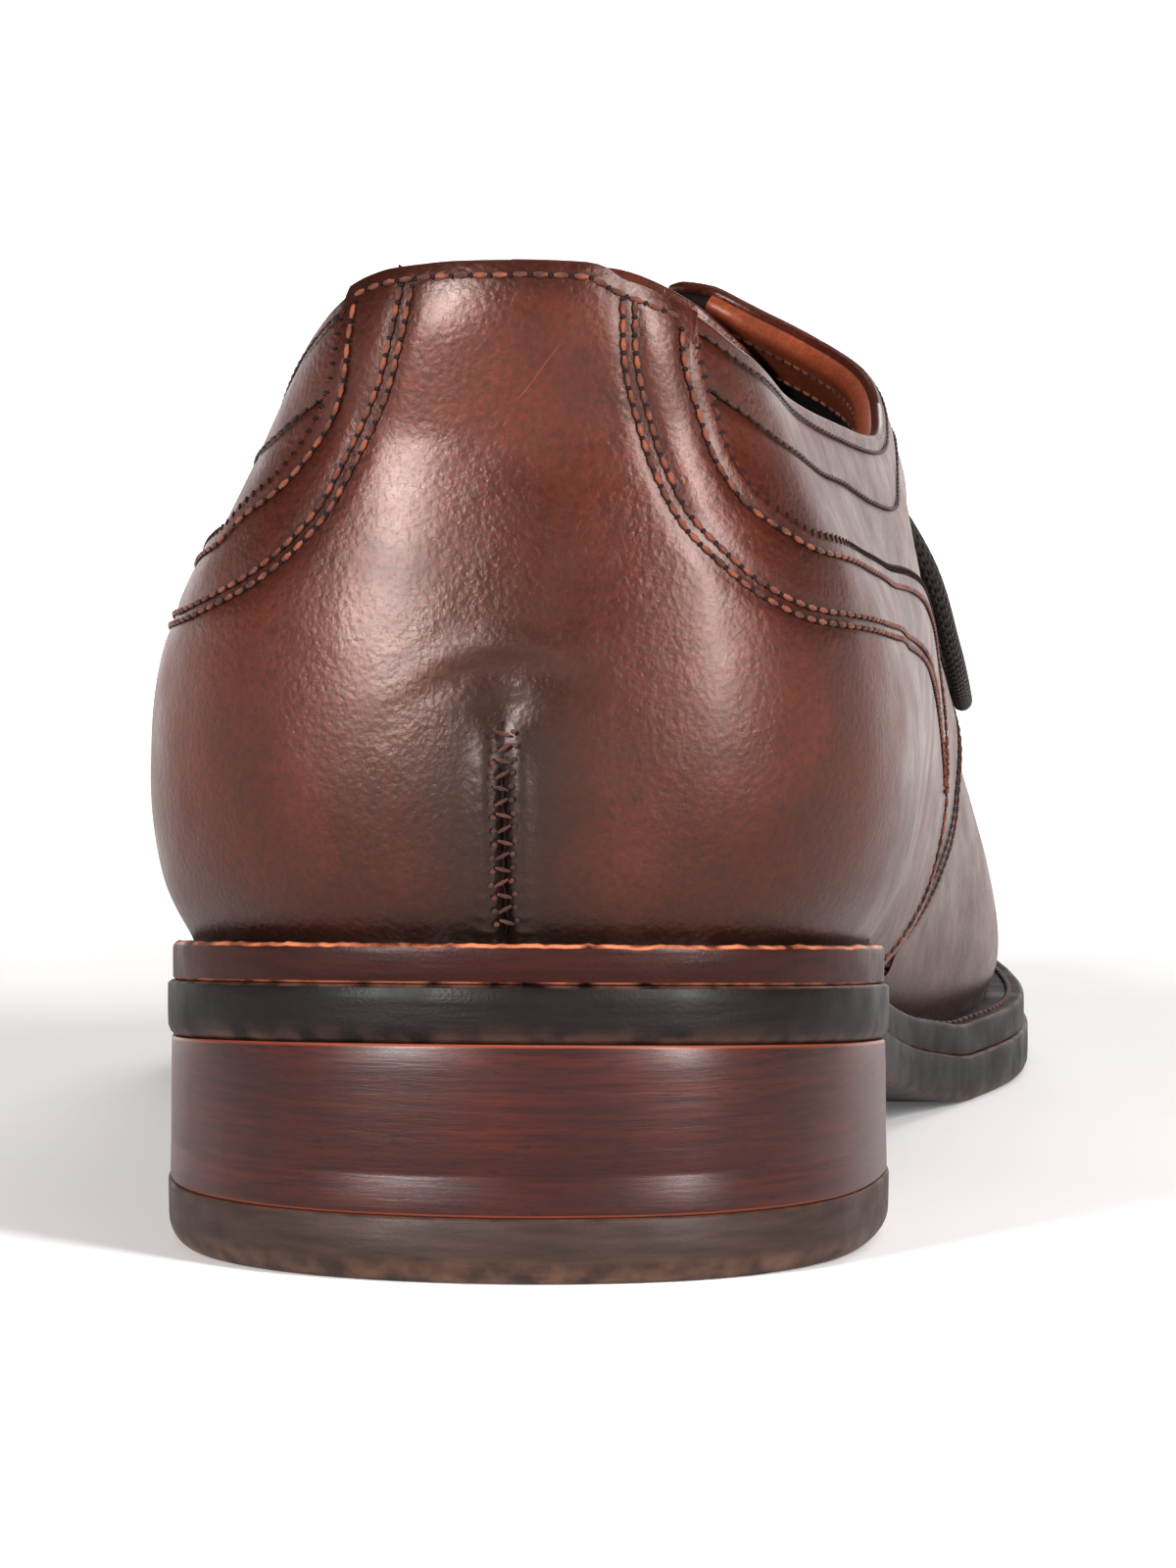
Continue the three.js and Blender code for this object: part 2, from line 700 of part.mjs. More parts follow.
function makeTongue() {
  const clear = -wall - tongueClearance;
  const strip = lastForm(clear).subtract(lastForm(clear - tongueThickness, heelHeight));
  const from = throatStart - tongueAboveThroat;
  const to = throatEnd + tongueUnderVamp;
  const half = (at) => throatHalfGap(at) + eyeletFromEdge + eyeletFlange + tongueSideSpare;
  const side = (sign, at, cut) => new THREE.Vector2(crestAt(at) + sign * (half(at) - cut), at);
  const plan = [
    side(-1, from + tongueCorner, 0), side(-1, from, tongueCorner),
    side(1, from, tongueCorner), side(1, from + tongueCorner, 0),
    side(1, to - tongueCorner, 0), side(1, to, tongueCorner),
    side(-1, to, tongueCorner), side(-1, to - tongueCorner, 0),
  ];
  return strip.intersect(planBlock(plan, collarHeight / 2, farUp));
}

function makeInsole() {
  const bottom = (at) => outsoleTop(at) + gap;
  const top = (at) => soleTop(at) + gap + insoleThickness;
  const drawnIn = (at) => soleTop(at) + gap + insoleThickness / 2;
  return plate('feather', [
    { inset: insoleInset, height: bottom },
    { inset: insoleInset, height: drawnIn },
    { inset: insoleInset + insoleRound, height: top },
  ]);
}

function edgeBand(at, behind) {
  const top = soleTop;
  const bottom = (place) => outsoleTop(place) + gap;
  const shoulder = (place) => soleTop(place) - soleBevel;
  const outer = plate('edge', [
    { inset: weltInset, height: bottom },
    { inset: weltInset, height: shoulder },
    { inset: weltInset + soleBevel / 2, height: top },
  ]);
  const inner = plate('feather', [
    { inset: insoleInset - gap, height: (place) => bottom(place) - overshoot },
    { inset: insoleInset - gap, height: (place) => top(place) + overshoot },
  ]);
  const line = [corner(at, farDown), corner(at, farUp)];
  const far = behind ? farBehind : farAhead;
  const half = [...line, corner(far, farUp), corner(far, farDown)];
  const shape = behind ? half : half.reverse();
  return outer.subtract(inner).intersect(sideBlock(shape, -farSide, farSide));
}

function makeOutsole() {
  return plate('edge', [
    { inset: soleBevel, height: soleBottom },
    { inset: 0, height: (at) => soleBottom(at) + soleBevel },
    { inset: 0, height: (at) => outsoleTop(at) - soleBevel / 2 },
    { inset: soleBevel / 3, height: outsoleTop },
  ]);
}

function heelPiece(rowsOfRings) {
  const breast = [
    corner(heelLength, farDown), corner(heelLength, farUp),
    corner(farBehind, farUp), corner(farBehind, farDown),
  ];
  return plate('edge', rowsOfRings).intersect(sideBlock(breast, -farSide, farSide));
}

function makeHeelStack() {
  const stackHeight = heelHeight - topLiftHeight;
  return heelPiece([
    { inset: heelInset, height: () => topLiftHeight },
    { inset: heelInset, height: () => topLiftHeight + stackHeight / 4 },
    { inset: heelTaper, height: (at) => heelHeight - heelPitch * at - gap },
  ]);
}

function makeTopLift() {
  return heelPiece([
    { inset: topLiftRound * 0.75, height: () => 0 },
    { inset: topLiftRound * 0.2, height: () => topLiftRound * 0.4 },
    { inset: 0, height: () => topLiftRound },
    { inset: 0, height: () => topLiftHeight },
  ]);
}

// A round cord through chosen points, with a step every two diameters or so
function cordTube(points) {
  const curve = new THREE.CatmullRomCurve3(points);
  const section = new THREE.Shape().absarc(0, 0, laceDiameter / 2, 0, Math.PI * 2);
  const geometry = new THREE.ExtrudeGeometry(section, {
    steps: Math.ceil(curve.getLength() / (2 * laceDiameter)),
    curveSegments: 4,
    bevelEnabled: false,
    extrudePath: curve,
  });
  return toSolid(geometry);
}

function routePoints(route) {
  return route.map(([side, at, height]) => new THREE.Vector3(side, at, height));
}

function overSkin(x, at, lift) {
  const { u, v } = overPlan(x, at);
  return lastPoint(u, v).addScaledVector(lastNormal(u, v), lift);
}

// The bar of the lace that crosses the throat between one pair of eyelets
function laceBar(pair) {
  const at = eyeletFirstAt + pair * eyeletPitch;
  const reach = throatHalfGap(at) + eyeletFromEdge;
  const lift = quarterStep + laceDiameter / 2 + laceLift;
  const shares = [-1, -0.66, -0.33, 0, 0.33, 0.66, 1];
  return cordTube(shares.map((share) => overSkin(crestAt(at) + share * reach, at, lift)));
}

function makeKnot() {
  const lift = quarterStep + laceLift + knotHalfHeight;
  const { u, v } = overPlan(crestAt(knotAt), knotAt);
  const centre = lastPoint(u, v).addScaledVector(lastNormal(u, v), lift);
  const geometry = new THREE.SphereGeometry(1, 16, 10);
  geometry.scale(knotHalfWidth, knotHalfHeight, knotHalfLength);
  const up = new THREE.Vector3(0, 1, 0);
  geometry.applyQuaternion(new THREE.Quaternion().setFromUnitVectors(up, lastNormal(u, v)));
  geometry.translate(centre.x, centre.y, centre.z);
  return toSolid(geometry);
}

function meshOf(name, solid, finish) {
  const { vertProperties, triVerts } = solid.simplify(finestDetail).getMesh();
  const geometry = new THREE.BufferGeometry();
  geometry.setAttribute('position', new THREE.BufferAttribute(new Float32Array(vertProperties), 3));
  geometry.setIndex(new THREE.BufferAttribute(new Uint32Array(triVerts), 1));
  geometry.computeVertexNormals();
  const mesh = new THREE.Mesh(geometry, new THREE.MeshStandardMaterial(finish));
  mesh.name = name;
  return mesh;
}

const shoe = new THREE.Group();
shoe.name = 'plain_toe_derby_left';
shoe.position.y = -heelLength / 2;

shoe.add(meshOf('upper', makeUpper(), leather));
shoe.add(meshOf('tongue', makeTongue(), leather));
shoe.add(meshOf('insole', makeInsole(), darkLeather));
shoe.add(meshOf('heel_rand', edgeBand(heelLength - gap / 2, true), randLeather));
shoe.add(meshOf('welt', edgeBand(heelLength + gap / 2, false), blackEdge));
shoe.add(meshOf('outsole', makeOutsole(), blackEdge));
shoe.add(meshOf('heel_stack', makeHeelStack(), stackedHeel));
shoe.add(meshOf('top_lift', makeTopLift(), heelRubber));
for (const place of eyelets) shoe.add(meshOf(`eyelet_${place.name}`, eyelet(place), eyeletMetal));
for (let pair = 0; pair < eyeletPairs; pair += 1) {
  shoe.add(meshOf(`lace_bar_${pair + 1}`, laceBar(pair), laceCotton));
}
shoe.add(meshOf('lace_knot', makeKnot(), laceCotton));
for (const side of ['medial', 'lateral']) {
  shoe.add(meshOf(`lace_loop_${side}`, cordTube(routePoints(loopRoutes[side])), laceCotton));
  shoe.add(meshOf(`lace_end_${side}`, cordTube(routePoints(endRoutes[side])), laceCotton));
}

export default shoe;
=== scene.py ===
import math

import bmesh
import bpy
import numpy as np
from mathutils import Matrix, Vector
from mathutils.kdtree import KDTree


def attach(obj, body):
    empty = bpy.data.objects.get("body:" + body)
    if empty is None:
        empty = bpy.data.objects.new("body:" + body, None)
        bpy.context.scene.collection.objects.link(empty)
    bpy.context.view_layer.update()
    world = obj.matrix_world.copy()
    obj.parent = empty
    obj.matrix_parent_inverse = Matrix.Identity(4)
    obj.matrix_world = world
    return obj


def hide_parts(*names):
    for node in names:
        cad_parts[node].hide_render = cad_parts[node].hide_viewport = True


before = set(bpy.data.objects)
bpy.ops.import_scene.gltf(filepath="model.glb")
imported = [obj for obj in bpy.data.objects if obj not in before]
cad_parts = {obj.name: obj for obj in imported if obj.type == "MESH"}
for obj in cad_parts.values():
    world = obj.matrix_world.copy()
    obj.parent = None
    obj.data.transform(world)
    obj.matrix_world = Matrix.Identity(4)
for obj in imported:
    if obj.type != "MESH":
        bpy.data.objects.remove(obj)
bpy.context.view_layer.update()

# All sizes are in millimetres of the shoe, measured from the back of the heel forward, from
# the middle towards the inner side and from the floor up. in_metres() turns them into the frame.
MM = 0.001
SHOE_LENGTH = 305
BALL_WIDTH = 105
HEEL_LENGTH = 75
HEEL_HEIGHT = 22.1
HEEL_PITCH = 0.077
TOP_LIFT_HEIGHT = 6.2
SOLE_THICKNESS = 5.4
WELT_THICKNESS = 3.5
TOE_SPRING = 10
INSTEP_HEIGHT = 98
COLLAR_HEIGHT = 93
GAP = 0.3
THROAT_START = 132
THROAT_END = 181
THROAT_TOP_HALF_GAP = 8
THROAT_END_HALF_GAP = 5
EYELET_FIRST_AT = 143
EYELET_PITCH = 11
EYELET_PAIRS = 4
EYELET_FROM_EDGE = 8
LACE_DIAMETER = 2.4
FRAME_SHIFT = np.array([0, -HEEL_LENGTH / 2, 0])


def in_metres(points):
    return (np.asarray(points, float) + FRAME_SHIFT) * MM


# The camera stands where the photograph's did, and looks at the one shoe
PHOTO_FOCAL_LENGTH = 54.5
CLOSER = 2.42
EYE = (0.0495, -0.5545, 0.073)
SIGHT_LINE = (-0.0813, 1, -0.0525)


def set_camera():
    lens = bpy.data.cameras.new("camera")
    lens.lens = PHOTO_FOCAL_LENGTH * CLOSER
    lens.sensor_width = 36
    lens.clip_start = 0.01
    camera = bpy.data.objects.new("camera", lens)
    camera.location = EYE
    camera.rotation_euler = Vector(SIGHT_LINE).to_track_quat("-Z", "Y").to_euler()
    bpy.context.collection.objects.link(camera)
    bpy.context.scene.camera = camera


set_camera()


# Materials

def linear(red, green, blue):
    """A colour seen as 0 to 255 in each channel, as the shader's linear colour."""
    channels = [c / 255 for c in (red, green, blue)]
    return [c / 12.92 if c <= 0.04045 else ((c + 0.055) / 1.055) ** 2.4 for c in channels] + [1]


class Finish:
    """A procedural material: textures on the object's own coordinates, mixed into one shader."""

    def __init__(
        self, name, roughness=0.5, metallic=0.0, coat=0.0, coat_roughness=0.3, specular=0.5, sheen=0.0,
    ):
        self.material = bpy.data.materials.new(name)
        self.material.use_nodes = True
        self.tree = self.material.node_tree
        self.shader = self.tree.nodes["Principled BSDF"]
        settings = {
            "Roughness": roughness, "Metallic": metallic, "Coat Weight": coat,
            "Coat Roughness": coat_roughness, "Specular IOR Level": specular, "Sheen Weight": sheen,
        }
        for socket, value in settings.items():
            self.shader.inputs[socket].default_value = value
        self.object_place = self.add("ShaderNodeTexCoord").outputs["Object"]
        self.uv_place = self.object_place.node.outputs["UV"]

    def add(self, kind, inputs=(), **settings):
        node = self.tree.nodes.new(kind)
        for setting, value in settings.items():
            setattr(node, setting, value)
        for socket, value in dict(inputs).items():
            self.feed(node.inputs[socket], value)
        return node

    def feed(self, socket, value):
        if isinstance(value, bpy.types.NodeSocket):
            self.tree.links.new(value, socket)
        else:
            socket.default_value = value

    def stretched(self, stretch, place=None):
        node = self.add("ShaderNodeMapping", {"Vector": place or self.object_place, "Scale": stretch})
        return node.outputs["Vector"]

    def noise(self, size, detail=3, place=None, distortion=0.0, rough=0.5):
        """Noise whose blotches are about size millimetres."""
        inputs = {
            "Vector": place or self.object_place, "Scale": 1 / (size * MM), "Detail": detail,
            "Distortion": distortion, "Roughness": rough,
        }
        return self.add("ShaderNodeTexNoise", inputs).outputs["Fac"]

    def cells(self, size, feature="F1", place=None):
        inputs = {"Vector": place or self.object_place, "Scale": 1 / (size * MM)}
        return self.add("ShaderNodeTexVoronoi", inputs, feature=feature).outputs["Distance"]

    def wave(self, size, direction, place=None, distortion=0.0):
        inputs = {"Vector": place or self.object_place, "Scale": 1 / size, "Distortion": distortion}
        return self.add("ShaderNodeTexWave", inputs, bands_direction=direction).outputs["Fac"]

    def attribute(self, name):
        return self.add("ShaderNodeAttribute", attribute_name=name).outputs["Fac"]

    def steps(self, value, low, high, to_low=0.0, to_high=1.0):
        inputs = {"Value": value, "From Min": low, "From Max": high, "To Min": to_low, "To Max": to_high}
        return self.add("ShaderNodeMapRange", inputs).outputs["Result"]

    def math(self, operation, first, second):
        node = self.add("ShaderNodeMath", operation=operation)
        self.feed(node.inputs[0], first)
        self.feed(node.inputs[1], second)
        return node.outputs[0]

    def mixed(self, factor, first, second, how="MIX"):
        node = self.add("ShaderNodeMix", data_type="RGBA", blend_type=how)
        self.feed(node.inputs["Factor"], factor)
        self.feed(node.inputs[6], first)
        self.feed(node.inputs[7], second)
        return node.outputs[2]

    def paint(self, colour):
        self.feed(self.shader.inputs["Base Color"], colour)

    def roughen(self, value):
        self.feed(self.shader.inputs["Roughness"], value)

    def relief(self, *layers):
        """Bumps on bumps: each layer is a height and its depth in millimetres."""
        normal = None
        for height, depth in layers:
            bump = self.add("ShaderNodeBump", {"Height": height, "Distance": depth * MM})
            if normal:
                self.feed(bump.inputs["Normal"], normal)
            normal = bump.outputs["Normal"]
        self.feed(self.shader.inputs["Normal"], normal)


def burnished_leather(name, body, light, dark, gloss, groove_shade=0.55):
    """Smooth dyed leather: cloudy dye, darker burnishing and painted shade where an attribute says, painted
    shade along the stitch grooves, fine grain.
    """
    finish = Finish(name, roughness=gloss, coat=0.2, coat_roughness=0.26, specular=0.45)
    finish.shader.inputs["Specular Tint"].default_value = (1, 0.8, 0.74, 1)
    cloud = finish.steps(finish.noise(22, detail=4, distortion=0.6), 0.36, 0.66)
    colour = finish.mixed(cloud, body, light)
    mottle = finish.steps(finish.noise(0.8, detail=5, rough=0.7), 0.36, 0.68, 0.0, 0.55)
    colour = finish.mixed(mottle, colour, dark)
    # Painted shade by the welt, round the back seam and under the collar's edge, and burnishing at the toe,
    # as the upper's attribute gives them
    colour = finish.mixed(finish.attribute("burnish_and_shade"), colour, dark)
    pores = finish.steps(finish.cells(0.62), 0.0, 0.3, 0.55, 0.0)
    colour = finish.mixed(pores, colour, dark)
    # Painted shade along the stitch grooves, darker near each row of stitches
    seam = finish.math("MULTIPLY", finish.attribute("seam"), groove_shade)
    colour = finish.mixed(seam, colour, linear(36, 14, 10))
    finish.paint(colour)
    finish.roughen(finish.steps(finish.noise(7, detail=5, rough=0.65), 0.3, 0.7, gloss - 0.07, gloss + 0.09))
    grain = finish.cells(0.62, feature="SMOOTH_F1")
    creases = finish.noise(0.34, detail=4, rough=0.6)
    swell = finish.noise(11, detail=2)
    finish.relief((swell, 0.35), (grain, 0.05), (creases, 0.045))
    return finish.material


def plain_lining(name, colour, light):
    finish = Finish(name, roughness=0.7, specular=0.3)
    finish.paint(finish.mixed(finish.noise(3, detail=5), colour, light))
    finish.relief((finish.cells(0.7, feature="SMOOTH_F1"), 0.08), (finish.noise(0.4), 0.05))
    return finish.material


def spun_thread(name, light, dark):
    """Twisted thread: pale and dark plies, and patches rubbed darker by the polish."""
    finish = Finish(name, roughness=0.62, specular=0.3, sheen=0.2)
    rubbed = finish.steps(finish.noise(2.2, detail=3), 0.4, 0.62)
    finish.paint(finish.mixed(rubbed, light, dark))
    finish.relief((finish.noise(0.18, detail=2), 0.06))
    return finish.material


def inked_edge(name, colour, rubbed, gloss):
    """A dyed and waxed sole edge with fine lines round it, and corners rubbed paler."""
    finish = Finish(name, roughness=gloss, coat=0.06, coat_roughness=0.35, specular=0.25)
    lines = finish.noise(0.9, detail=4, place=finish.stretched((0.12, 0.12, 1)))
    patches = finish.steps(finish.noise(3, detail=5), 0.34, 0.6)
    worn = finish.math("MULTIPLY", finish.attribute("worn"), patches)
    body = finish.mixed(finish.steps(lines, 0.35, 0.7), colour, [0.62 * c for c in colour[:3]] + [1])
    finish.paint(finish.mixed(worn, body, rubbed))
    finish.roughen(finish.steps(finish.noise(5, detail=4), 0.3, 0.7, gloss - 0.08, gloss + 0.1))
    finish.relief((lines, 0.08), (finish.noise(0.35, detail=3), 0.03))
    return finish.material


def stacked_heel_finish():
    """Leather layers stained red brown: long fine streaks level with the floor."""
    finish = Finish("stained_heel_stack", roughness=0.34, coat=0.2, coat_roughness=0.25, specular=0.35)
    along_layers = finish.stretched((0.07, 0.07, 1))
    streaks = finish.noise(0.55, detail=6, place=along_layers, rough=0.7)
    layers = finish.noise(3.2, detail=2, place=finish.stretched((0.02, 0.02, 1)))
    colour = finish.mixed(finish.steps(streaks, 0.36, 0.62), linear(42, 12, 8), linear(78, 27, 18))
    colour = finish.mixed(finish.steps(layers, 0.42, 0.6, 0.0, 0.55), colour, linear(52, 16, 11))
    stained = finish.steps(finish.noise(14, detail=3), 0.42, 0.66, 0.0, 0.45)
    colour = finish.mixed(stained, colour, linear(36, 14, 12))
    speckle = finish.noise(0.5, detail=2, place=finish.stretched((0.3, 0.3, 1)))
    pits = finish.steps(speckle, 0.62, 0.7, 0.0, 0.6)
    colour = finish.mixed(pits, colour, linear(30, 11, 8))
    finish.paint(finish.mixed(finish.attribute("worn"), colour, linear(158, 88, 66)))
    finish.relief((streaks, 0.05), (layers, 0.1))
    return finish.material


def braided_lace_finish(name, colour, light):
    finish = Finish(name, roughness=0.66, specular=0.35, sheen=0.15)
    place = finish.uv_place
    one_way = finish.wave(1.6, "DIAGONAL", place=place)
    mirrored = finish.stretched((1, -1, 1), place=place)
    other_way = finish.wave(1.6, "DIAGONAL", place=mirrored)
    plies = finish.math("MAXIMUM", one_way, other_way)
    # Painted highlight: the plies' raised ridges are paler than the hollows between them
    finish.paint(finish.mixed(finish.steps(plies, 0.3, 1.0), colour, light))
    finish.relief((plies, 0.22), (finish.noise(0.2), 0.04))
    return finish.material


def cast_metal(name, colour, roughness):
    finish = Finish(name, roughness=roughness, metallic=1.0)
    finish.paint(finish.mixed(finish.noise(1.5, detail=4), colour, [0.7 * c for c in colour[:3]] + [1]))
    finish.relief((finish.noise(0.3), 0.02))
    return finish.material


CALF = burnished_leather(
    "burnished_calf", linear(70, 28, 17), linear(90, 38, 23), linear(29, 18, 13), gloss=0.34,
)
FACING = burnished_leather(
    "cognac_facing", linear(118, 58, 34), linear(142, 76, 46), linear(84, 40, 24), gloss=0.5, groove_shade=0.5,
)
LINING = plain_lining("black_lining", linear(22, 17, 16), linear(36, 28, 26))
SOCK = plain_lining("sock_leather", linear(34, 26, 23), linear(56, 43, 37))
TAN_THREAD = spun_thread("tan_thread", linear(122, 68, 46), linear(68, 34, 23))
BROWN_THREAD = spun_thread("brown_thread", linear(84, 44, 31), linear(48, 24, 17))
# Painted shade: the dark of the specks and tubes put into needle holes, slits and notches
HOLE_SHADE = plain_lining("painted_hole_shade", linear(34, 12, 9), linear(20, 8, 6))
RAND = inked_edge("rand_leather", linear(54, 19, 13), linear(196, 126, 94), 0.4)
BLACK_EDGE = inked_edge("black_sole_edge", linear(26, 18, 16), linear(120, 88, 76), 0.46)
LIFT_RUBBER = inked_edge("top_lift_rubber", linear(66, 50, 45), linear(124, 92, 74), 0.5)
HEEL_STACK = stacked_heel_finish()
LACE = braided_lace_finish("waxed_black_lace", linear(16, 11, 10), linear(44, 34, 31))
AGLET = cast_metal("lace_tip", linear(52, 44, 40), 0.35)
EYELET = cast_metal("eyelet_metal", linear(150, 142, 134), 0.35)


# Making and placing meshes
SAME_PLACE = 0.002


def show(name, mesh, material, replaced=()):
    obj = bpy.data.objects.new(name, mesh)
    bpy.context.collection.objects.link(obj)
    mesh.materials.append(material)
    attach(obj, "root")
    if replaced:
        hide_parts(*replaced)
    return obj


def smooth_shaded(mesh, sharp=45):
    mesh.polygons.foreach_set("use_smooth", [True] * len(mesh.polygons))
    mesh.set_sharp_from_angle(angle=math.radians(sharp))
    mesh.update()


def grid_of(name, points, values=None, closed=True):
    """A grid of faces drawn through rows of points, welded where its sides meet. values are
    numbers of each point that a material reads, such as wear."""
    rows, columns = points.shape[:2]
    bm = bmesh.new()
    bm.loops.layers.uv.new("pattern")
    bmesh.ops.create_grid(bm, x_segments=columns - 1, y_segments=rows - 1, size=1, calc_uvs=True)
    mesh = bpy.data.meshes.new(name)
    bm.to_mesh(mesh)
    flat = np.empty(len(mesh.vertices) * 3)
    mesh.vertices.foreach_get("co", flat)
    share = (flat.reshape(-1, 3)[:, :2] + 1) / 2
    column = np.rint(share[:, 0] * (columns - 1)).astype(int)
    row = np.rint(share[:, 1] * (rows - 1)).astype(int)
    placed = in_metres(points)[row, column]
    mesh.vertices.foreach_set("co", placed.ravel())
    for label, numbers in (values or {}).items():
        layer = mesh.attributes.new(label, "FLOAT", "POINT")
        layer.data.foreach_set("value", np.asarray(numbers, np.float32)[row, column].ravel())
    spans = np.array([
        np.linalg.norm(np.diff(points[rows // 2], axis=0), axis=1).sum(),
        np.linalg.norm(np.diff(points[:, columns // 2], axis=0), axis=1).sum(),
    ])
    layer = mesh.uv_layers[0].data
    uv = np.empty(len(layer) * 2)
    layer.foreach_get("uv", uv)
    layer.foreach_set("uv", (uv.reshape(-1, 2) * spans).ravel())
    bm.clear()
    bm.from_mesh(mesh)
    bmesh.ops.remove_doubles(bm, verts=bm.verts, dist=SAME_PLACE * MM)
    if closed:
        bmesh.ops.recalc_face_normals(bm, faces=bm.faces)
    bm.to_mesh(mesh)
    bm.free()
    smooth_shaded(mesh)
    return mesh


def spline_weights(t):
    t2, t3 = t * t, t * t * t
    return 0.5 * np.stack([2 * t2 - t - t3, 2 - 5 * t2 + 3 * t3, t + 4 * t2 - 3 * t3, t3 - t2], -1)


def curved(points, per_span=8):
    """A smooth line through chosen points."""
    points = np.asarray(points, float)
    ends = np.vstack([2 * points[0] - points[1], points, 2 * points[-1] - points[-2]])
    t = np.arange(per_span) / per_span
    spans = [spline_weights(t) @ ends[i:i + 4] for i in range(len(points) - 1)]
    return np.vstack(spans + [points[-1:]])


def tube(name, path, radius, sides=12, flat=1.0):
    """A round cord along a path, its ends closed. radius may be one size or one for each point."""
    path = np.asarray(path, float)
    radii = np.broadcast_to(radius, len(path))
    tangents = np.gradient(path, axis=0)
    tangents /= np.linalg.norm(tangents, axis=1)[:, None]
    side = np.cross(tangents[0], [0, 0, 1.0])
    rings = []
    for point, tangent, size in zip(path, tangents, radii):
        side = side - tangent * side.dot(tangent)
        side /= np.linalg.norm(side)
        up = np.cross(side, tangent)
        turn = np.linspace(0, 2 * np.pi, sides + 1)[:, None]
        rings.append(point + size * (np.cos(turn) * side + flat * np.sin(turn) * up))
    starts = [path[0] + (rings[0] - path[0]) * share for share in (0, 0.6)]
    ends = [path[-1] + (rings[-1] - path[-1]) * share for share in (0.6, 0)]
    return grid_of(name, np.array(starts + rings + ends))


# The laces. Routes are sideways place, at and height, as the CAD's are
LOOP_ROUTES = {
    "medial": [
        (6.4, 149.6, 92.7), (17.9, 150.4, 84.2), (27.2, 154, 74.7), (34.2, 159.5, 63.7),
        (37.2, 166.3, 53.6), (38.3, 172.3, 48.2), (38.2, 177.4, 46.9), (36.4, 179, 50.6),
        (32.9, 175.3, 58.4), (27.3, 168.2, 67.8), (21, 161.1, 78.8), (11, 155.4, 88.4),
        (6.4, 153.4, 91.2),
    ],
    "lateral": [
        (-9.2, 149.6, 92.7), (-18.9, 150.3, 84.6), (-27.2, 154, 74.9), (-34.6, 159.6, 64),
        (-39.1, 166.4, 54.2), (-41.3, 172.4, 48.7), (-41.2, 177.5, 47.4), (-38.5, 179.1, 51),
        (-33.9, 175.3, 58.8), (-27.7, 168.1, 68), (-21.8, 161, 78.7), (-13, 155.4, 88.6),
        (-9, 153.6, 91.2),
    ],
}
END_ROUTES = {
    "medial": [
        (3.6, 155.4, 91.2), (13.1, 162.4, 83), (22.1, 169.8, 72.2), (28.7, 179.1, 61.2), (33.2, 188.7, 52),
    ],
    "lateral": [
        (-6, 155.4, 91.2), (-13.2, 162.4, 83.7), (-22.2, 169.7, 72.7), (-28.6, 179, 61.9),
        (-32.9, 188.8, 54.3),
    ],
}
LACE_RADIUS = LACE_DIAMETER / 2
# The moulded tip covers the lace's last points, is thicker than it and tapers at both ends
TIP_POINTS = 9
TIP_WALL = 0.12
TIP_TAPER = 0.1


def make_bow():
    for side, route in LOOP_ROUTES.items():
        path = curved(route)
        mesh = tube(f"lace_loop_{side}", path, LACE_RADIUS)
        loop = show(f"bow_loop_{side}", mesh, LACE, [f"lace_loop_{side}"])
        points = in_metres(path)
    for side, route in END_ROUTES.items():
        path = curved(route)
        mesh = tube(f"lace_end_{side}", path, LACE_RADIUS)
        end = show(f"bow_end_{side}", mesh, LACE, [f"lace_end_{side}"])
        tip_path = path[-TIP_POINTS:]
        radii = np.full(len(tip_path), LACE_RADIUS + TIP_WALL)
        radii[[0, -1]] = LACE_RADIUS - TIP_TAPER
        tip = show(f"lace_tip_{side}", tube(f"lace_tip_{side}", tip_path, radii), AGLET)
        points = in_metres(path)


make_bow()


# The last: half widths of each station in percent of the ball width. The columns are the
# station in percent of the shoe length, the sole's edge, and the levels from the sole up
LEVELS = ("feather", "low", "bulge", "mid", "high", "top")
MEDIAL_SIDE = np.array([
    (12.5, 31.9, 28.0, 31.3, 32.8, 31.2, 24.6, 15.2),
    (19.7, 30.4, 27.0, 30.7, 32.6, 31.6, 27.2, 20.0),
    (27.9, 29.0, 25.7, 29.6, 32.1, 32.6, 30.2, 21.9),
    (36.1, 29.0, 25.7, 29.5, 32.2, 33.1, 31.6, 24.8),
    (44.3, 31.9, 28.1, 31.4, 33.3, 33.8, 32.0, 24.8),
    (52.5, 38.1, 33.3, 35.4, 36.2, 35.8, 34.1, 25.9),
    (60.7, 43.1, 38.1, 39.6, 39.8, 38.6, 34.6, 25.0),
    (68.9, 44.0, 39.0, 40.3, 40.0, 37.7, 32.8, 22.9),
    (76.1, 41.8, 36.9, 38.1, 37.6, 35.2, 30.2, 21.2),
    (82.6, 37.3, 32.4, 33.5, 32.9, 30.6, 26.2, 18.6),
])
LATERAL_SIDE = np.array([
    (12.5, 34.9, 30.6, 33.7, 34.7, 33.0, 25.4, 15.2),
    (19.7, 34.2, 30.4, 33.5, 34.5, 32.6, 26.5, 18.4),
    (27.9, 33.6, 30.1, 33.1, 34.6, 33.4, 28.5, 20.7),
    (36.1, 35.2, 31.4, 34.7, 36.2, 35.4, 31.2, 22.9),
    (44.3, 42.9, 38.6, 41.0, 41.3, 39.0, 34.0, 24.6),
    (52.5, 51.4, 46.7, 48.6, 48.0, 44.8, 37.4, 26.0),
    (60.7, 56.2, 51.2, 52.4, 51.2, 46.6, 38.3, 26.2),
    (68.9, 54.6, 49.5, 50.5, 49.2, 44.8, 36.4, 25.0),
    (76.1, 48.8, 43.7, 44.7, 43.5, 39.4, 33.0, 23.0),
    (82.6, 41.8, 36.8, 37.8, 36.9, 34.0, 29.1, 20.5),
])
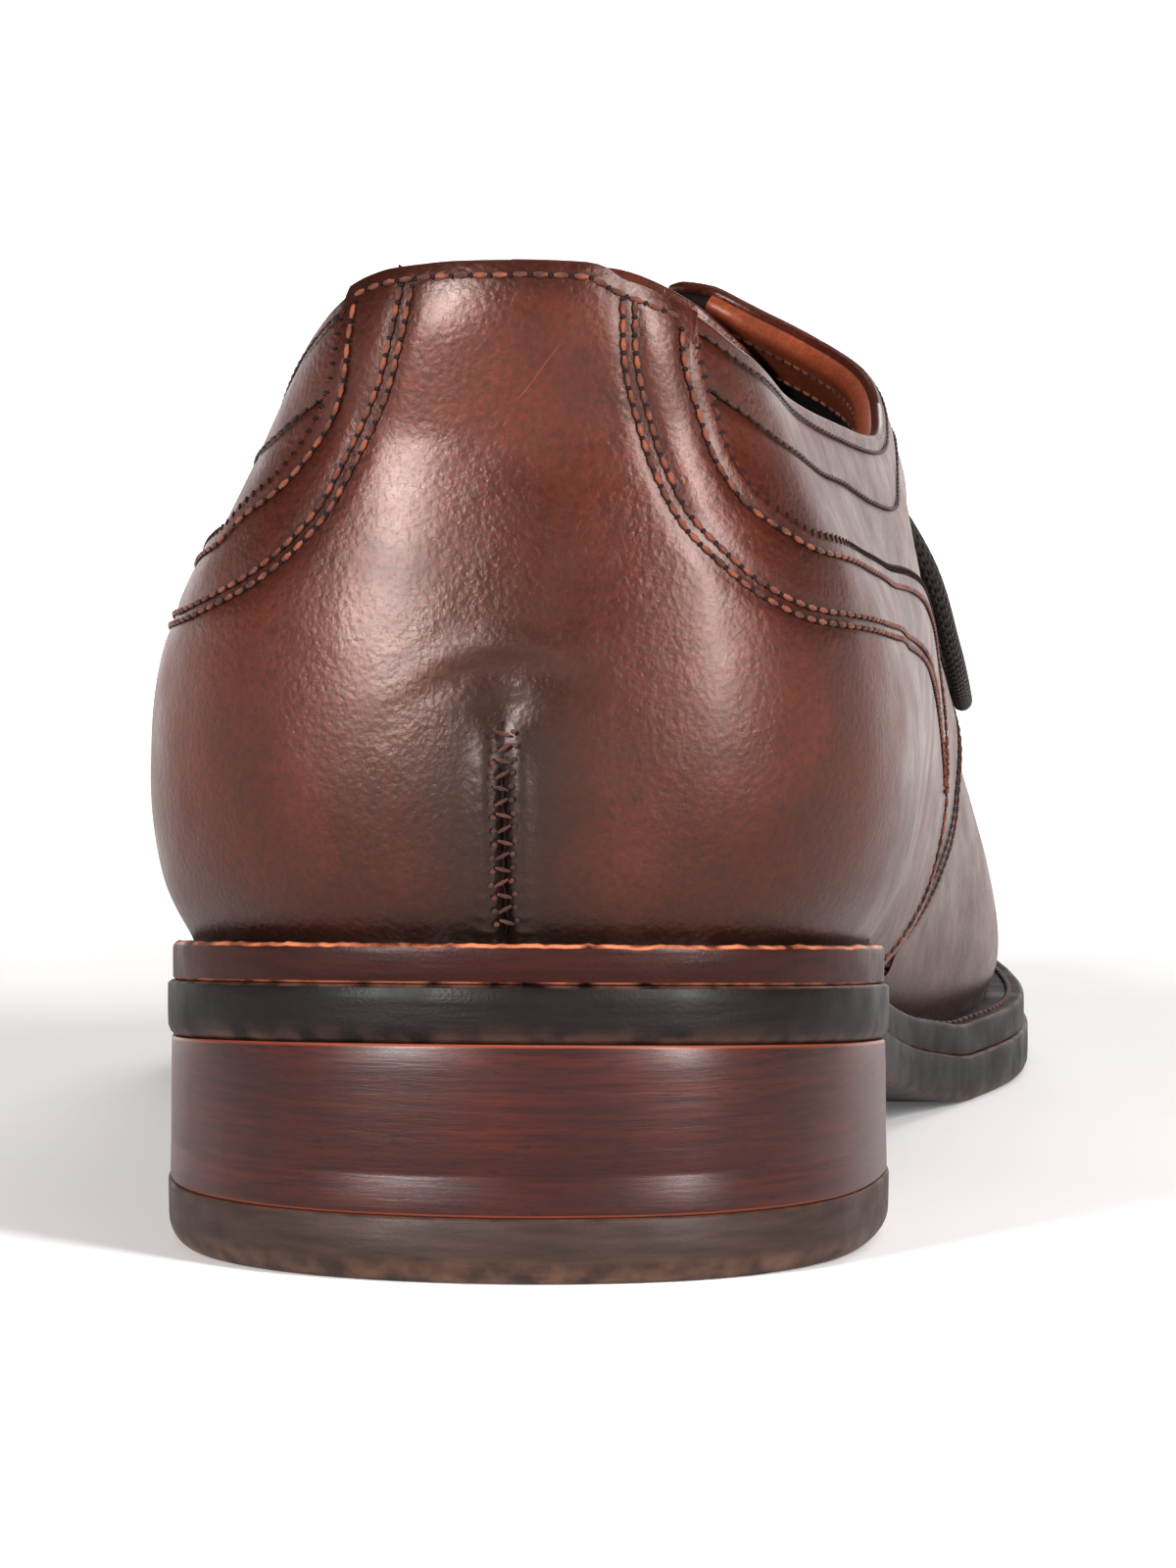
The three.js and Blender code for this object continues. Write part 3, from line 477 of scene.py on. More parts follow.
# The crest of the last: height in percent of the instep height, and its place to the side
CREST_LINE = np.array([
    (114.3, -1.4), (114.3, -1.4), (112.2, -1.4), (107.1, -1), (99, -1.4),
    (83.7, -1.4), (68.9, -1.4), (58.2, -1), (51, 0), (46.4, 1.4),
])
NAMES = ("edge",) + LEVELS
HEEL_BACK = dict(zip(NAMES, (1, 0.868, 0.921, 0.947, 0.926, 0.868, 0.81)))
TOE_TIP = dict(zip(NAMES, (1, 0.896, 0.911, 0.9, 0.845, 0.735, 0.51)))
HEEL_SQUARENESS = dict(zip(NAMES, (2.2, 2.2, 2.2, 2.3, 2.4, 2.7, 2.9)))
LEVEL_SHARES = (0, 0.08, 0.2, 0.35, 0.55, 0.8)
TOE_PLAN = ((0.3, 0.87), (0.6, 0.72), (0.87, 0.44), (1, 0))
HEEL_FAN = 3
HEEL_SWING = 1.5
TOE_SWING = 2.4
STATIONS = MEDIAL_SIDE[:, 0] / 100 * SHOE_LENGTH
HEEL_CENTRE = STATIONS[0]
TOE_CENTRE = STATIONS[-1]
CRESTS = np.stack([
    CREST_LINE[:, 1] / 100 * BALL_WIDTH, STATIONS, CREST_LINE[:, 0] / 100 * INSTEP_HEIGHT,
], 1)
RIDGE_SLOPES = np.array([0] + [
    (CRESTS[min(i + 1, 9)][2] - CRESTS[i - 1][2]) / (CRESTS[min(i + 1, 9)][1] - CRESTS[i - 1][1])
    for i in range(1, 10)
])
# Underside of the sole ahead of the heel: at in percent of the length, arch in shares of the
# heel height and spring in shares of the toe spring
SOLE_UNDERSIDE = (
    (32.8, 0.52, 0), (41, 0.26, 0), (47.5, 0.09, 0), (53.5, 0, 0),
    (67, 0, 0), (76, 0, 0.1), (86, 0, 0.38), (100, 0, 1),
)
UNDERSIDE_ROWS = [(0, HEEL_HEIGHT), (HEEL_LENGTH, HEEL_HEIGHT - HEEL_PITCH * HEEL_LENGTH)] + [
    (at / 100 * SHOE_LENGTH, arch * HEEL_HEIGHT + spring * TOE_SPRING) for at, arch, spring in SOLE_UNDERSIDE
]


def height_at(rows, at):
    """Height read from rows of at and height, by a curve that never overshoots them."""
    rows = np.asarray(rows, float)
    at = np.clip(np.asarray(at, float), rows[0, 0], rows[-1, 0])
    i = np.clip(np.searchsorted(rows[:, 0], at, side="right") - 1, 0, len(rows) - 2)
    slopes = np.diff(rows[:, 1]) / np.diff(rows[:, 0])
    before, after = slopes[:-1], slopes[1:]
    product = before * after
    safe = np.where(before + after == 0, 1, before + after)
    inner = np.where(product <= 0, 0, 2 * product / safe)
    tangents = np.concatenate([slopes[:1], inner, slopes[-1:]])
    span = rows[i + 1, 0] - rows[i, 0]
    t = (at - rows[i, 0]) / span
    rise = t * t * (3 - 2 * t)
    leave = t * (1 - t) ** 2 * span * tangents[i]
    arrive = t * t * (t - 1) * span * tangents[i + 1]
    return rows[i, 1] + (rows[i + 1, 1] - rows[i, 1]) * rise + leave + arrive


def sole_bottom(at):
    at = np.asarray(at, float)
    return np.where(at < HEEL_LENGTH, HEEL_HEIGHT - HEEL_PITCH * at, height_at(UNDERSIDE_ROWS, at))


def outsole_top(at):
    return sole_bottom(at) + SOLE_THICKNESS


def sole_top(at):
    return outsole_top(at) + GAP + WELT_THICKNESS


def crest_at(at):
    return height_at(CRESTS[:, [1, 0]], at)


def throat_half_gap(at):
    share = (np.asarray(at, float) - THROAT_START) / (THROAT_END - THROAT_START)
    return THROAT_TOP_HALF_GAP + (THROAT_END_HALF_GAP - THROAT_TOP_HALF_GAP) * share


def level_ring(name):
    """Places in plan of one level round the shoe: the back, inner side, toe, outer side."""
    column = 1 + NAMES.index(name)

    def side_row(table, sign, station):
        return sign * table[station, column] / 100 * BALL_WIDTH

    def heel_place(table, sign, step):
        turn = step / HEEL_FAN * math.pi / 2
        power = 2 / HEEL_SQUARENESS[name]
        along, across = math.cos(turn) ** power, math.sin(turn) ** power
        half = side_row(table, sign, 0) - CRESTS[0, 0]
        reach = HEEL_BACK[name] * HEEL_CENTRE
        return CRESTS[0, 0] + half * across + HEEL_SWING * along ** 2, HEEL_CENTRE - reach * along

    def toe_place(table, sign, step):
        along, across = TOE_PLAN[step]
        half = side_row(table, sign, -1) - CRESTS[-1, 0]
        reach = TOE_TIP[name] * (SHOE_LENGTH - TOE_CENTRE)
        return CRESTS[-1, 0] + half * across + TOE_SWING * along ** 2, TOE_CENTRE + reach * along

    medial = [(side_row(MEDIAL_SIDE, 1, i), at) for i, at in enumerate(STATIONS)]
    lateral = [(side_row(LATERAL_SIDE, -1, i), at) for i, at in enumerate(STATIONS)]
    return np.array(
        [heel_place(MEDIAL_SIDE, 1, step) for step in range(HEEL_FAN)] + medial
        + [toe_place(MEDIAL_SIDE, 1, step) for step in range(4)]
        + [toe_place(LATERAL_SIDE, -1, step) for step in (2, 1, 0)] + lateral[::-1]
        + [heel_place(LATERAL_SIDE, -1, step) for step in (2, 1)]
    )


RINGS = {name: level_ring(name) for name in NAMES}
ROWS = len(RINGS["edge"])
RING_STATION = np.array([0] * HEEL_FAN + list(range(10)) + [9] * 7 + list(range(9, -1, -1)) + [0, 0])
TOP_LEVEL = 6


def last_columns():
    columns = []
    for i in range(ROWS):
        crest = CRESTS[RING_STATION[i]]
        slope = RIDGE_SLOPES[RING_STATION[i]]
        base = sole_top(RINGS["feather"][i][1]) + GAP
        points = [
            np.array([*RINGS[name][i], base + share * (crest[2] - base)])
            for name, share in zip(LEVELS, LEVEL_SHARES)
        ]
        top = points[-1]
        fall = 2 * slope * (top[1] - crest[1])
        beyond = np.array([2 * crest[0] - top[0], 2 * crest[1] - top[1], top[2] - fall])
        columns.append([2 * points[0] - points[1], *points, crest, beyond])
    return np.array(columns)


COLUMNS = last_columns()
NORMAL_STEP = 0.02


def last_point(u, v):
    """Points of the last: u counts stations round the shoe from the back by the inner side,
    and is below 0 on the outer side; v counts levels from the sole up to the crest."""
    u, v = np.broadcast_arrays(np.asarray(u, float), np.asarray(v, float))
    row = np.floor(u).astype(int)
    level = np.clip(np.floor(v).astype(int), 0, TOP_LEVEL - 1)
    rows = (row[..., None] + np.arange(-1, 3)) % ROWS
    levels = level[..., None] + np.arange(4)
    near = COLUMNS[rows[..., :, None], levels[..., None, :]]
    along = np.einsum("...i,...ijk->...jk", spline_weights(u - row), near)
    still = np.all(near[..., 1, :, :] == near[..., 2, :, :], axis=-1)
    along = np.where(still[..., None], near[..., 1, :, :], along)
    return np.einsum("...j,...jk->...k", spline_weights(v - level), along)


def last_normal(u, v):
    u, v = np.broadcast_arrays(np.asarray(u, float), np.asarray(v, float))
    along = last_point(u + NORMAL_STEP, v) - last_point(u - NORMAL_STEP, v)
    low = np.minimum(v, TOP_LEVEL - NORMAL_STEP)
    up = last_point(u, low + NORMAL_STEP) - last_point(u, np.maximum(low - NORMAL_STEP, 0))
    normal = np.cross(along, up)
    normal[..., 2] = np.where(v <= 0, 0, normal[..., 2])
    row = np.floor(u).astype(int)
    slopes = RIDGE_SLOPES[RING_STATION]
    slope = slopes[row % ROWS] + (slopes[(row + 1) % ROWS] - slopes[row % ROWS]) * (u - row)
    at_crest = np.stack([np.zeros_like(slope), -slope, np.ones_like(slope)], -1)
    normal = np.where((v > TOP_LEVEL - NORMAL_STEP)[..., None], at_crest, normal)
    return normal / np.linalg.norm(normal, axis=-1, keepdims=True)


def skin(uv, lift=0.0):
    u, v = uv[..., 0], np.clip(uv[..., 1], 0, TOP_LEVEL)
    return last_point(u, v) + np.asarray(lift)[..., None] * last_normal(u, v)


# A coarse net of places on the skin, from which a nearest place is searched for
COARSE_U, COARSE_V = np.meshgrid(
    np.arange(-ROWS / 2, ROWS / 2, 1 / 8), np.arange(0, TOP_LEVEL + 0.05, 1 / 10),
)
COARSE_UV = np.stack([COARSE_U.ravel(), COARSE_V.ravel()], 1)
COARSE_POINTS = skin(COARSE_UV)


# Which coordinates count in a search on the skin: from above no height does, and any can be given
FROM_ABOVE = (1, 1, 0)
FROM_SIDE = (0, 1, 1)
ANY_HEIGHT = 85


def on_skin(targets, side=0, keep=(1, 1, 1), lift=1.0, start=None):
    """Station and level counts of the skin's places nearest to the targets. keep says which of
    sideways, at and height count, and side is 1 for the inner, -1 for the outer half."""
    targets, keep = np.asarray(targets, float), np.asarray(keep, float)
    uv = start
    if uv is None:
        allowed = COARSE_UV[:, 0] * side >= -0.01
        off = (COARSE_POINTS[None, allowed] - targets[:, None]) * keep
        uv = COARSE_UV[allowed][np.argmin((off ** 2).sum(-1), axis=1)]
    step = 0.01
    for _ in range(8):
        miss = (targets - skin(uv, lift)) * keep
        d_u = (skin(uv + [step, 0], lift) - skin(uv - [step, 0], lift)) / (2 * step) * keep
        below = np.maximum(uv[:, 1] - step, 0)
        above = np.minimum(uv[:, 1] + step, TOP_LEVEL)
        d_v = skin(np.stack([uv[:, 0], above], 1), lift) - skin(np.stack([uv[:, 0], below], 1), lift)
        d_v = d_v / (above - below)[:, None] * keep
        a, b, c = (d_u * d_u).sum(1), (d_u * d_v).sum(1), (d_v * d_v).sum(1)
        p, q = (d_u * miss).sum(1), (d_v * miss).sum(1)
        det = a * c - b * b + 0.001
        move = np.stack([(c * p - b * q) / det, (a * q - b * p) / det], 1)
        uv = uv + np.clip(move, -0.4, 0.4)
        uv[:, 1] = np.clip(uv[:, 1], 0, TOP_LEVEL)
    return uv


def arc_of(uv, lift=1.0):
    """Distance along a line on the skin, at each of its points."""
    steps = np.linalg.norm(np.diff(skin(uv, lift), axis=0), axis=1)
    return np.concatenate([[0], np.cumsum(steps)])


def even(uv, count, lift=1.0):
    """A line on the skin with points spread evenly along it, kept in station and level counts."""
    share = np.linspace(0, len(uv) - 1, 4 * len(uv))
    fine = np.stack([np.interp(share, np.arange(len(uv)), uv[:, k]) for k in range(2)], 1)
    along = arc_of(fine, lift)
    if along[-1] < 0.01:
        along = share
    at = np.linspace(0, along[-1], count)
    return np.stack([np.interp(at, along, fine[:, k]) for k in range(2)], 1)


def shifted(uv, distance, lift=1.0):
    """A line moved sideways over the skin: to its left, seen from outside, as it runs."""
    points = skin(uv, lift)
    tangents = np.gradient(points, axis=0)
    tangents /= np.linalg.norm(tangents, axis=1)[:, None] + 1e-9
    left = np.cross(last_normal(uv[:, 0], np.clip(uv[:, 1], 0, TOP_LEVEL)), tangents)
    return on_skin(points + left * np.asarray(distance).reshape(-1, 1), lift=lift, start=uv.copy())


# Pattern lines, each point its place sideways, at and height
FOXING_ROW = {
    1: [
        (15.4, 8, 96), (15.3, 7.4, 91.5), (15.4, 7, 88), (15.7, 6.6, 84.1), (17.2, 7.2, 79.2),
        (18.8, 7.7, 74.7), (21.5, 8.8, 70.9), (24.7, 11.5, 68.6), (28.2, 16.4, 66.6),
        (31.6, 31.8, 65), (33.3, 51.9, 63.2),
        (34.5, 75, 62), (35.6, 100, 59.5), (36, 118, 56), (36.3, 131, 50.5), (36.5, 136, 44),
        (36, 134, 36), (35.5, 127, 28.5), (35, 117, 22), (34.5, 108, 15), (34, 98, 6),
    ],
    -1: [
        (-14.6, 8.2, 96), (-14.8, 8, 91), (-15.2, 7.5, 86.9), (-15.6, 7.2, 82.5), (-16.6, 7.6, 79.2),
        (-18.4, 8.4, 76.4), (-20.2, 9.1, 74.2), (-22.6, 10.6, 72), (-26.2, 14.2, 69.7), (-29.6, 18.5, 67.1),
        (-33.5, 31.8, 65.5), (-35, 51.9, 63.4), (-37, 75, 62), (-39, 100, 59.5), (-40, 118, 56),
        (-43, 131, 50.5), (-46, 136, 44), (-48, 134, 36), (-47, 127, 28.5), (-45, 117, 22),
        (-43, 108, 15), (-40, 98, 6),
    ],
}
TWIN_ROW = {
    1: [
        (10.7, 4.9, 95), (10.8, 4.7, 90.4), (11, 4.3, 84.1), (12.4, 5.1, 78), (13.7, 5.1, 74.2),
        (16, 5.2, 69.8),
        (18.9, 6, 66.7), (22.7, 7.8, 63.4), (27, 11.5, 61.1), (30.9, 18.3, 60.2), (33.6, 32, 59),
        (34.6, 50, 57.8), (35.2, 75, 56), (35.8, 100, 53), (36.2, 118, 48.5), (36.4, 129, 42.5),
        (36.4, 132, 39),
    ],
    -1: [
        (-9.2, 5, 96), (-9.4, 5, 91.7), (-10.3, 4.5, 87.3), (-11.7, 5, 81.9), (-13.1, 5.7, 78.6),
        (-15.1, 6, 74.7),
        (-17.6, 6.3, 70.3), (-21.7, 7.8, 66.2), (-26.6, 11.2, 63.1), (-32.2, 19.2, 60.7), (-34.2, 32, 59.4),
        (-35.5, 50, 57.8), (-37, 75, 56), (-39, 100, 53), (-42, 118, 48.5), (-45, 129, 42.5), (-46, 132, 39),
    ],
}
COLLAR = {
    1: [
        (-10, 1.003), (4, 1), (5.5, 0.98), (9, 0.95), (15, 0.917), (25, 0.892), (36, 0.872), (48, 0.854),
        (62, 0.841), (76, 0.833), (90, 0.838), (100, 0.864), (115, 0.925), (125, 0.97), (131, 1.012),
        (134, 1.1),
    ],
    -1: [
        (-10, 1.003), (5, 0.998), (12, 0.965), (20, 0.92), (30, 0.877), (45, 0.834), (65, 0.797), (88, 0.787),
        (100, 0.823), (115, 0.893), (125, 0.952), (131, 1.012), (134, 1.1),
    ],
}
QUARTER_FRONT = [
    (196, 0.82), (190, 0.66), (181, 0.57), (172, 0.5), (164, 0.43), (154, 0.35), (138, 0.27),
    (120, 0.2), (104, 0.1),
]
SIDES = {1: "medial", -1: "lateral"}
# How far each panel's outer face lies over the last
VAMP_LIFT = 0.0
QUARTER_LIFT = 1.0
FOXING_LIFT = 1.8
LINING_LIFT = -0.15
TONGUE_LIFT = -3.5
# How far the quarters run on under the foxing, and the vamp under the quarters
QUARTER_LAP = 4.5
VAMP_LAP = 9
# The rounded upper corner of the throat, where its line ends, and the foxing's row from its edge
THROAT_CORNER = 5
THROAT_FOOT = 194
EDGE_OUTSIDE_ROW = 1.7


def down_to_feather(uv):
    """The line cut where it first meets the sole."""
    low = np.flatnonzero(uv[:, 1] <= 0.001)
    return uv[:low[0] + 1] if len(low) else uv


def traced(points, side, keep=(1, 1, 1), lift=FOXING_LIFT, per_span=6):
    return on_skin(curved(points, per_span), side, keep, lift)


def collar_line(side, from_u, to_u, count=160):
    """Where the skin rises to the collar's height, from one station count to another."""
    rows = curved(np.array(COLLAR[side]) * [1, COLLAR_HEIGHT], 4)
    u = np.linspace(from_u, to_u, count)
    levels = np.linspace(3, TOP_LEVEL, 121)
    points = skin(np.stack(np.broadcast_arrays(u[:, None], levels[None]), -1), QUARTER_LIFT)
    over = points[..., 2] - np.interp(points[..., 1], rows[:, 0], rows[:, 1])
    first = np.argmax(over > 0, axis=1)
    pick = np.arange(count)
    share = over[pick, first - 1] / (over[pick, first - 1] - over[pick, first])
    return np.stack([u, levels[first - 1] + share * (levels[1] - levels[0])], 1)


def throat_line(side, start, end, count=40):
    """The facing's edge, from the rounded top corner along the throat."""
    at = np.linspace(start, end, count)
    corner = THROAT_CORNER * np.clip(1 - (at - THROAT_START) / THROAT_CORNER, 0, 1.2) ** 1.6
    x = crest_at(at) + side * (throat_half_gap(at) + corner)
    return on_skin(np.stack([x, at, np.full(count, ANY_HEIGHT)], 1), side, FROM_ABOVE, QUARTER_LIFT)


def nearest_index(line, place):
    """Index of a line's point nearest to a place."""
    return int(np.argmin(np.linalg.norm(skin(line, 1.0) - place, axis=1)))


def crossing(first, second, lift=QUARTER_LIFT):
    """Indices where two lines on the skin come closest."""
    gaps = np.linalg.norm(skin(first, lift)[:, None] - skin(second, lift)[None], axis=-1)
    return np.unravel_index(np.argmin(gaps), gaps.shape)


def joined(*lines):
    """Lines end to end, without doubling the points where they meet."""
    return np.vstack([lines[0]] + [line[1:] for line in lines[1:]])


def feather_line(from_u, to_u, count):
    u = np.linspace(from_u, to_u, 4 * count)
    return even(np.stack([u, np.zeros_like(u)], 1), count)


def crest_line(from_u, to_u, count):
    u = np.linspace(from_u, to_u, 4 * count)
    return even(np.stack([u, np.full_like(u, TOP_LEVEL)], 1), count)


class Pattern:
    """The lines of one half of the shoe, kept in station and level counts."""

    def __init__(self, side):
        self.side = side
        corner_u = on_skin([self.throat_corner()], side, FROM_ABOVE, QUARTER_LIFT)[0, 0]
        self.collar = even(collar_line(side, 0.0, corner_u), 300)
        self.throat = joined(self.collar[-1:], throat_line(side, THROAT_START, THROAT_FOOT))
        self.foxing_row = down_to_feather(even(traced(FOXING_ROW[side], side), 400))
        self.foxing_edge = down_to_feather(even(shifted(self.foxing_row, side * EDGE_OUTSIDE_ROW), 500))
        self.hidden_rear = down_to_feather(even(shifted(self.foxing_row, -side * QUARTER_LAP), 300))
        front = np.array(QUARTER_FRONT) * [1, COLLAR_HEIGHT]
        line = curved(np.insert(front, 0, 0, axis=1) + [side * 30, 0, 0], 8)
        line = down_to_feather(even(on_skin(line, side, FROM_SIDE, QUARTER_LIFT), 400))
        self.quarter_front = line[np.flatnonzero(line[:, 1] > TOP_LEVEL - 0.01)[-1]:]
        self.twin_row = even(traced(TWIN_ROW[side], side), 400)

    def throat_corner(self):
        """The place where the collar turns down into the throat."""
        return crest_at(131) + self.side * 14, 131.5, ANY_HEIGHT


def part_of(uv, start, end):
    """The stretch of a line between two of its indices."""
    return uv[start:end + 1]


# How many times a sheet's inner points are drawn to where its cells are even
RELAXINGS = 150


def sheet_between(lower, upper, knots, spacing, rows, first=1.0, counts=()):
    """Station and level counts over a panel, ruled from its lower to its upper edge. knots are
    pairs of places, as counts along the two edges, that lie across from each other. Its first
    part's spacing is first times that of the rest, and counts sets how many columns each has."""
    lows, ups = [], []
    for (low_from, up_from), (low_to, up_to) in zip(knots, knots[1:]):
        low = part_of(lower, low_from, low_to)
        up = part_of(upper, up_from, up_to)
        finer = first if low_from == 0 else 1
        count = 2 + int(max(arc_of(low)[-1], arc_of(up)[-1]) / spacing / finer)
        if counts:
            count = counts[len(lows)]
        lows.append(even(low, count))
        ups.append(even(up, count))
    t = np.linspace(0, 1, rows)[:, None, None]
    uv = (1 - t) * joined(*lows)[None] + t * joined(*ups)[None]
    for _ in range(RELAXINGS):
        along = (uv[1:-1, 2:] - uv[1:-1, :-2]) / 2
        across = (uv[2:, 1:-1] - uv[:-2, 1:-1]) / 2
        stretch_along = (along ** 2).sum(-1, keepdims=True) + 1e-9
        stretch_across = (across ** 2).sum(-1, keepdims=True) + 1e-9
        lean = (along * across).sum(-1, keepdims=True)
        corners = uv[2:, 2:] - uv[2:, :-2] - uv[:-2, 2:] + uv[:-2, :-2]
        pull = stretch_across * (uv[1:-1, 2:] + uv[1:-1, :-2])
        pull = pull + stretch_along * (uv[2:, 1:-1] + uv[:-2, 1:-1])
        uv[1:-1, 1:-1] = (pull - 0.5 * lean * corners) / (2 * (stretch_along + stretch_across))
    return uv


def both_halves(halves):
    """One sheet of its two halves, which meet at the heel's back."""
    medial, lateral = halves
    return np.concatenate([medial[:, ::-1], lateral[:, 1:]], axis=1)


PATTERN = {side: Pattern(side) for side in SIDES}
# Shares of the foxing's foot that lie below the collar's corner, the neck's bend and the nose
FOXING_FOOT_SHARES = (0.07, 0.18, 0.84)
# The neck's columns are this much closer than the foxing's others
NECK_SPACING = 0.55


def foxing_sheet(spacing, rows):
    """The heel foxing: its neck up to the collar, and its wings forward to the waist."""
    halves = []
    for side, pattern in PATTERN.items():
        edge_index, collar_index = crossing(pattern.foxing_edge, pattern.collar)
        nose = int(np.argmax(skin(pattern.foxing_edge, 1.0)[:, 1]))
        edge = pattern.foxing_edge[edge_index:]
        nose -= edge_index
        bend = nearest_index(edge, [side * 22, 9.5, 72])
        upper = joined(pattern.collar[:collar_index + 1], edge)
        lower = feather_line(0, edge[-1, 0], 400)
        along = arc_of(lower)
        low_at = np.searchsorted(along, [share * along[-1] for share in FOXING_FOOT_SHARES])
        knots = [
            (0, 0), (low_at[0], collar_index), (low_at[1], collar_index + bend),
            (low_at[2], collar_index + nose), (len(lower) - 1, len(upper) - 1),
        ]
        halves.append(sheet_between(lower, upper, knots, spacing, rows, NECK_SPACING))
    return both_halves(halves)


def quarter_sheet(side, spacing, rows):
    """A quarter: from under the foxing forward to its front edge, and up to collar and throat."""
    pattern = PATTERN[side]
    rear_index, collar_index = crossing(pattern.hidden_rear, pattern.collar)
    front_index, throat_index = crossing(pattern.quarter_front, pattern.throat)
    lower = pattern.hidden_rear[rear_index:][::-1]
    front = pattern.quarter_front[front_index:][::-1]
    throat = pattern.throat[:throat_index + 1][::-1]
    collar = pattern.collar[collar_index:][::-1]
    upper = joined(front, throat, collar)
    nose = int(np.argmax(skin(lower, 1.0)[:, 1]))
    under_corner = nose + nearest_index(lower[nose:], [side * 36, 97, 56])
    corner = len(front) + len(throat) - 2
    knots = [(0, 0), (nose, len(front) - 1), (under_corner, corner), (len(lower) - 1, len(upper) - 1)]
    return sheet_between(lower, upper, knots, spacing, rows)


# Columns of the vamp's sheets: beside the throat, along the crest and round the toe
VAMP_COLUMNS = (64, 74, 60)
# Station counts of the vamp's crest: where it starts under the throat, the last station, the tip
CREST_START = 9.15
LAST_STATION = HEEL_FAN + len(STATIONS) - 1
TIP = ROWS // 2
CREST_POINTS = 60
FOOT_POINTS = 300


def vamp_sheet(side, rows):
    """Half of the vamp: from under the quarter forward round the toe, and up to the crest."""
    pattern = PATTERN[side]
    hidden = even(shifted(pattern.quarter_front, -side * VAMP_LAP), 200)[::-1]
    hidden = hidden[hidden[:, 1] > 0.5]
    hidden = np.vstack([[[hidden[0, 0] - side * 0.1, 0]], hidden])
    crest = crest_line(side * CREST_START, side * LAST_STATION, CREST_POINTS)
    rise = joined(hidden[:-12], crest[:1])
    round_tip = np.linspace(LAST_STATION, TIP, CREST_POINTS) * side
    fan = np.stack([round_tip, np.full(CREST_POINTS, TOP_LEVEL)], 1)
    upper = joined(rise, crest, fan)
    lower = joined(
        feather_line(hidden[0, 0], side * LAST_STATION, FOOT_POINTS),
        feather_line(side * LAST_STATION, side * TIP, CREST_POINTS),
    )
    across_throat = nearest_index(lower, [side * 45, 160, 16])
    knots = [
        (0, 0), (across_throat, len(rise) - 1), (FOOT_POINTS - 1, len(rise) + len(crest) - 2),
        (len(lower) - 1, len(upper) - 1),
    ]
    return sheet_between(lower, upper, knots, 1.0, rows, counts=VAMP_COLUMNS)


def lining_sheet(spacing, rows):
    """The lining: all round the heel's inside, from the sole up to collar and throat."""
    halves = []
    for side, pattern in PATTERN.items():
        upper = joined(pattern.collar, pattern.throat)
        lower = feather_line(0, side * 9.2, FOOT_POINTS)
        under_corner = nearest_index(lower, [side * 36, 128, 16])
        knots = [(0, 0), (under_corner, len(pattern.collar) - 1), (len(lower) - 1, len(upper) - 1)]
        halves.append(sheet_between(lower, upper, knots, spacing, rows))
    return both_halves(halves)


# Rows of stitches. Each row is a line on the skin, with the lift of the panel under it
STITCH_PITCH = 1.8
STITCH_RADIUS = 0.28
# Half of a stitch's length as a share of the pitch, and its thickness as a share of its radius
STITCH_REACH = 0.44
STITCH_FLATNESS = 0.8
GROOVE_STEP = 0.5


def seam_points(lines, lift):
    """Close places along rows of stitches, searched for the grooves that they press in."""
    points = np.vstack([skin(even(line, int(arc_of(line)[-1] / GROOVE_STEP) + 2), lift) for line in lines])
    tree = KDTree(len(points))
    for number, point in enumerate(points):
        tree.insert(point, number)
    tree.balance()
    return tree


class Seams:
    """All rows of stitches, gathered by thread, and made into pieces at the end."""

    def __init__(self):
        self.rows = []

    def add(self, line, lift, thread, pitch=STITCH_PITCH, radius=STITCH_RADIUS):
        self.rows.append((line, lift, thread, pitch, radius))

    def on(self, lift):
        """The rows' lines on the panel of a lift."""
        return [row[0] for row in self.rows if row[1] == lift]


SEAMS = Seams()
THREADS = {"tan": ("tan_thread", TAN_THREAD), "brown": ("brown_thread", BROWN_THREAD)}


def repeated(template, matrices):
    """One mesh of many copies of a small shape."""
    bm = bmesh.new()
    rest = np.empty(len(template.vertices) * 3)
    template.vertices.foreach_get("co", rest)
    for matrix in matrices:
        template.transform(matrix)
        bm.from_mesh(template)
        template.vertices.foreach_set("co", rest)
    mesh = bpy.data.meshes.new(template.name)
    bm.to_mesh(mesh)
    bm.free()
    smooth_shaded(mesh)
    return mesh


def grain_of_rice(name, around=6, rings=5):
    mesh = bpy.data.meshes.new(name)
    bm = bmesh.new()
    bmesh.ops.create_uvsphere(bm, u_segments=around, v_segments=rings, radius=1)
    bm.to_mesh(mesh)
    bm.free()
    return mesh


def placed(centre, along, up, sizes):
    """A matrix that stretches a unit shape to sizes, along, across and up from the skin."""
    along = Vector(along).normalized()
    up = Vector(up)
    up = (up - along * up.dot(along)).normalized()
    across = up.cross(along)
    turn = Matrix((along, across, up)).transposed().to_4x4()
    scale = Matrix.Diagonal([*(size * MM for size in sizes), 1])
    return Matrix.Translation(in_metres(centre)) @ turn @ scale


def stitch_places(line, lift, pitch):
    count = max(2, int(round(arc_of(line)[-1] / pitch)) + 1)
    uv = even(line, count)
    points = skin(uv, lift)
    normals = last_normal(uv[:, 0], uv[:, 1])
    return points, normals


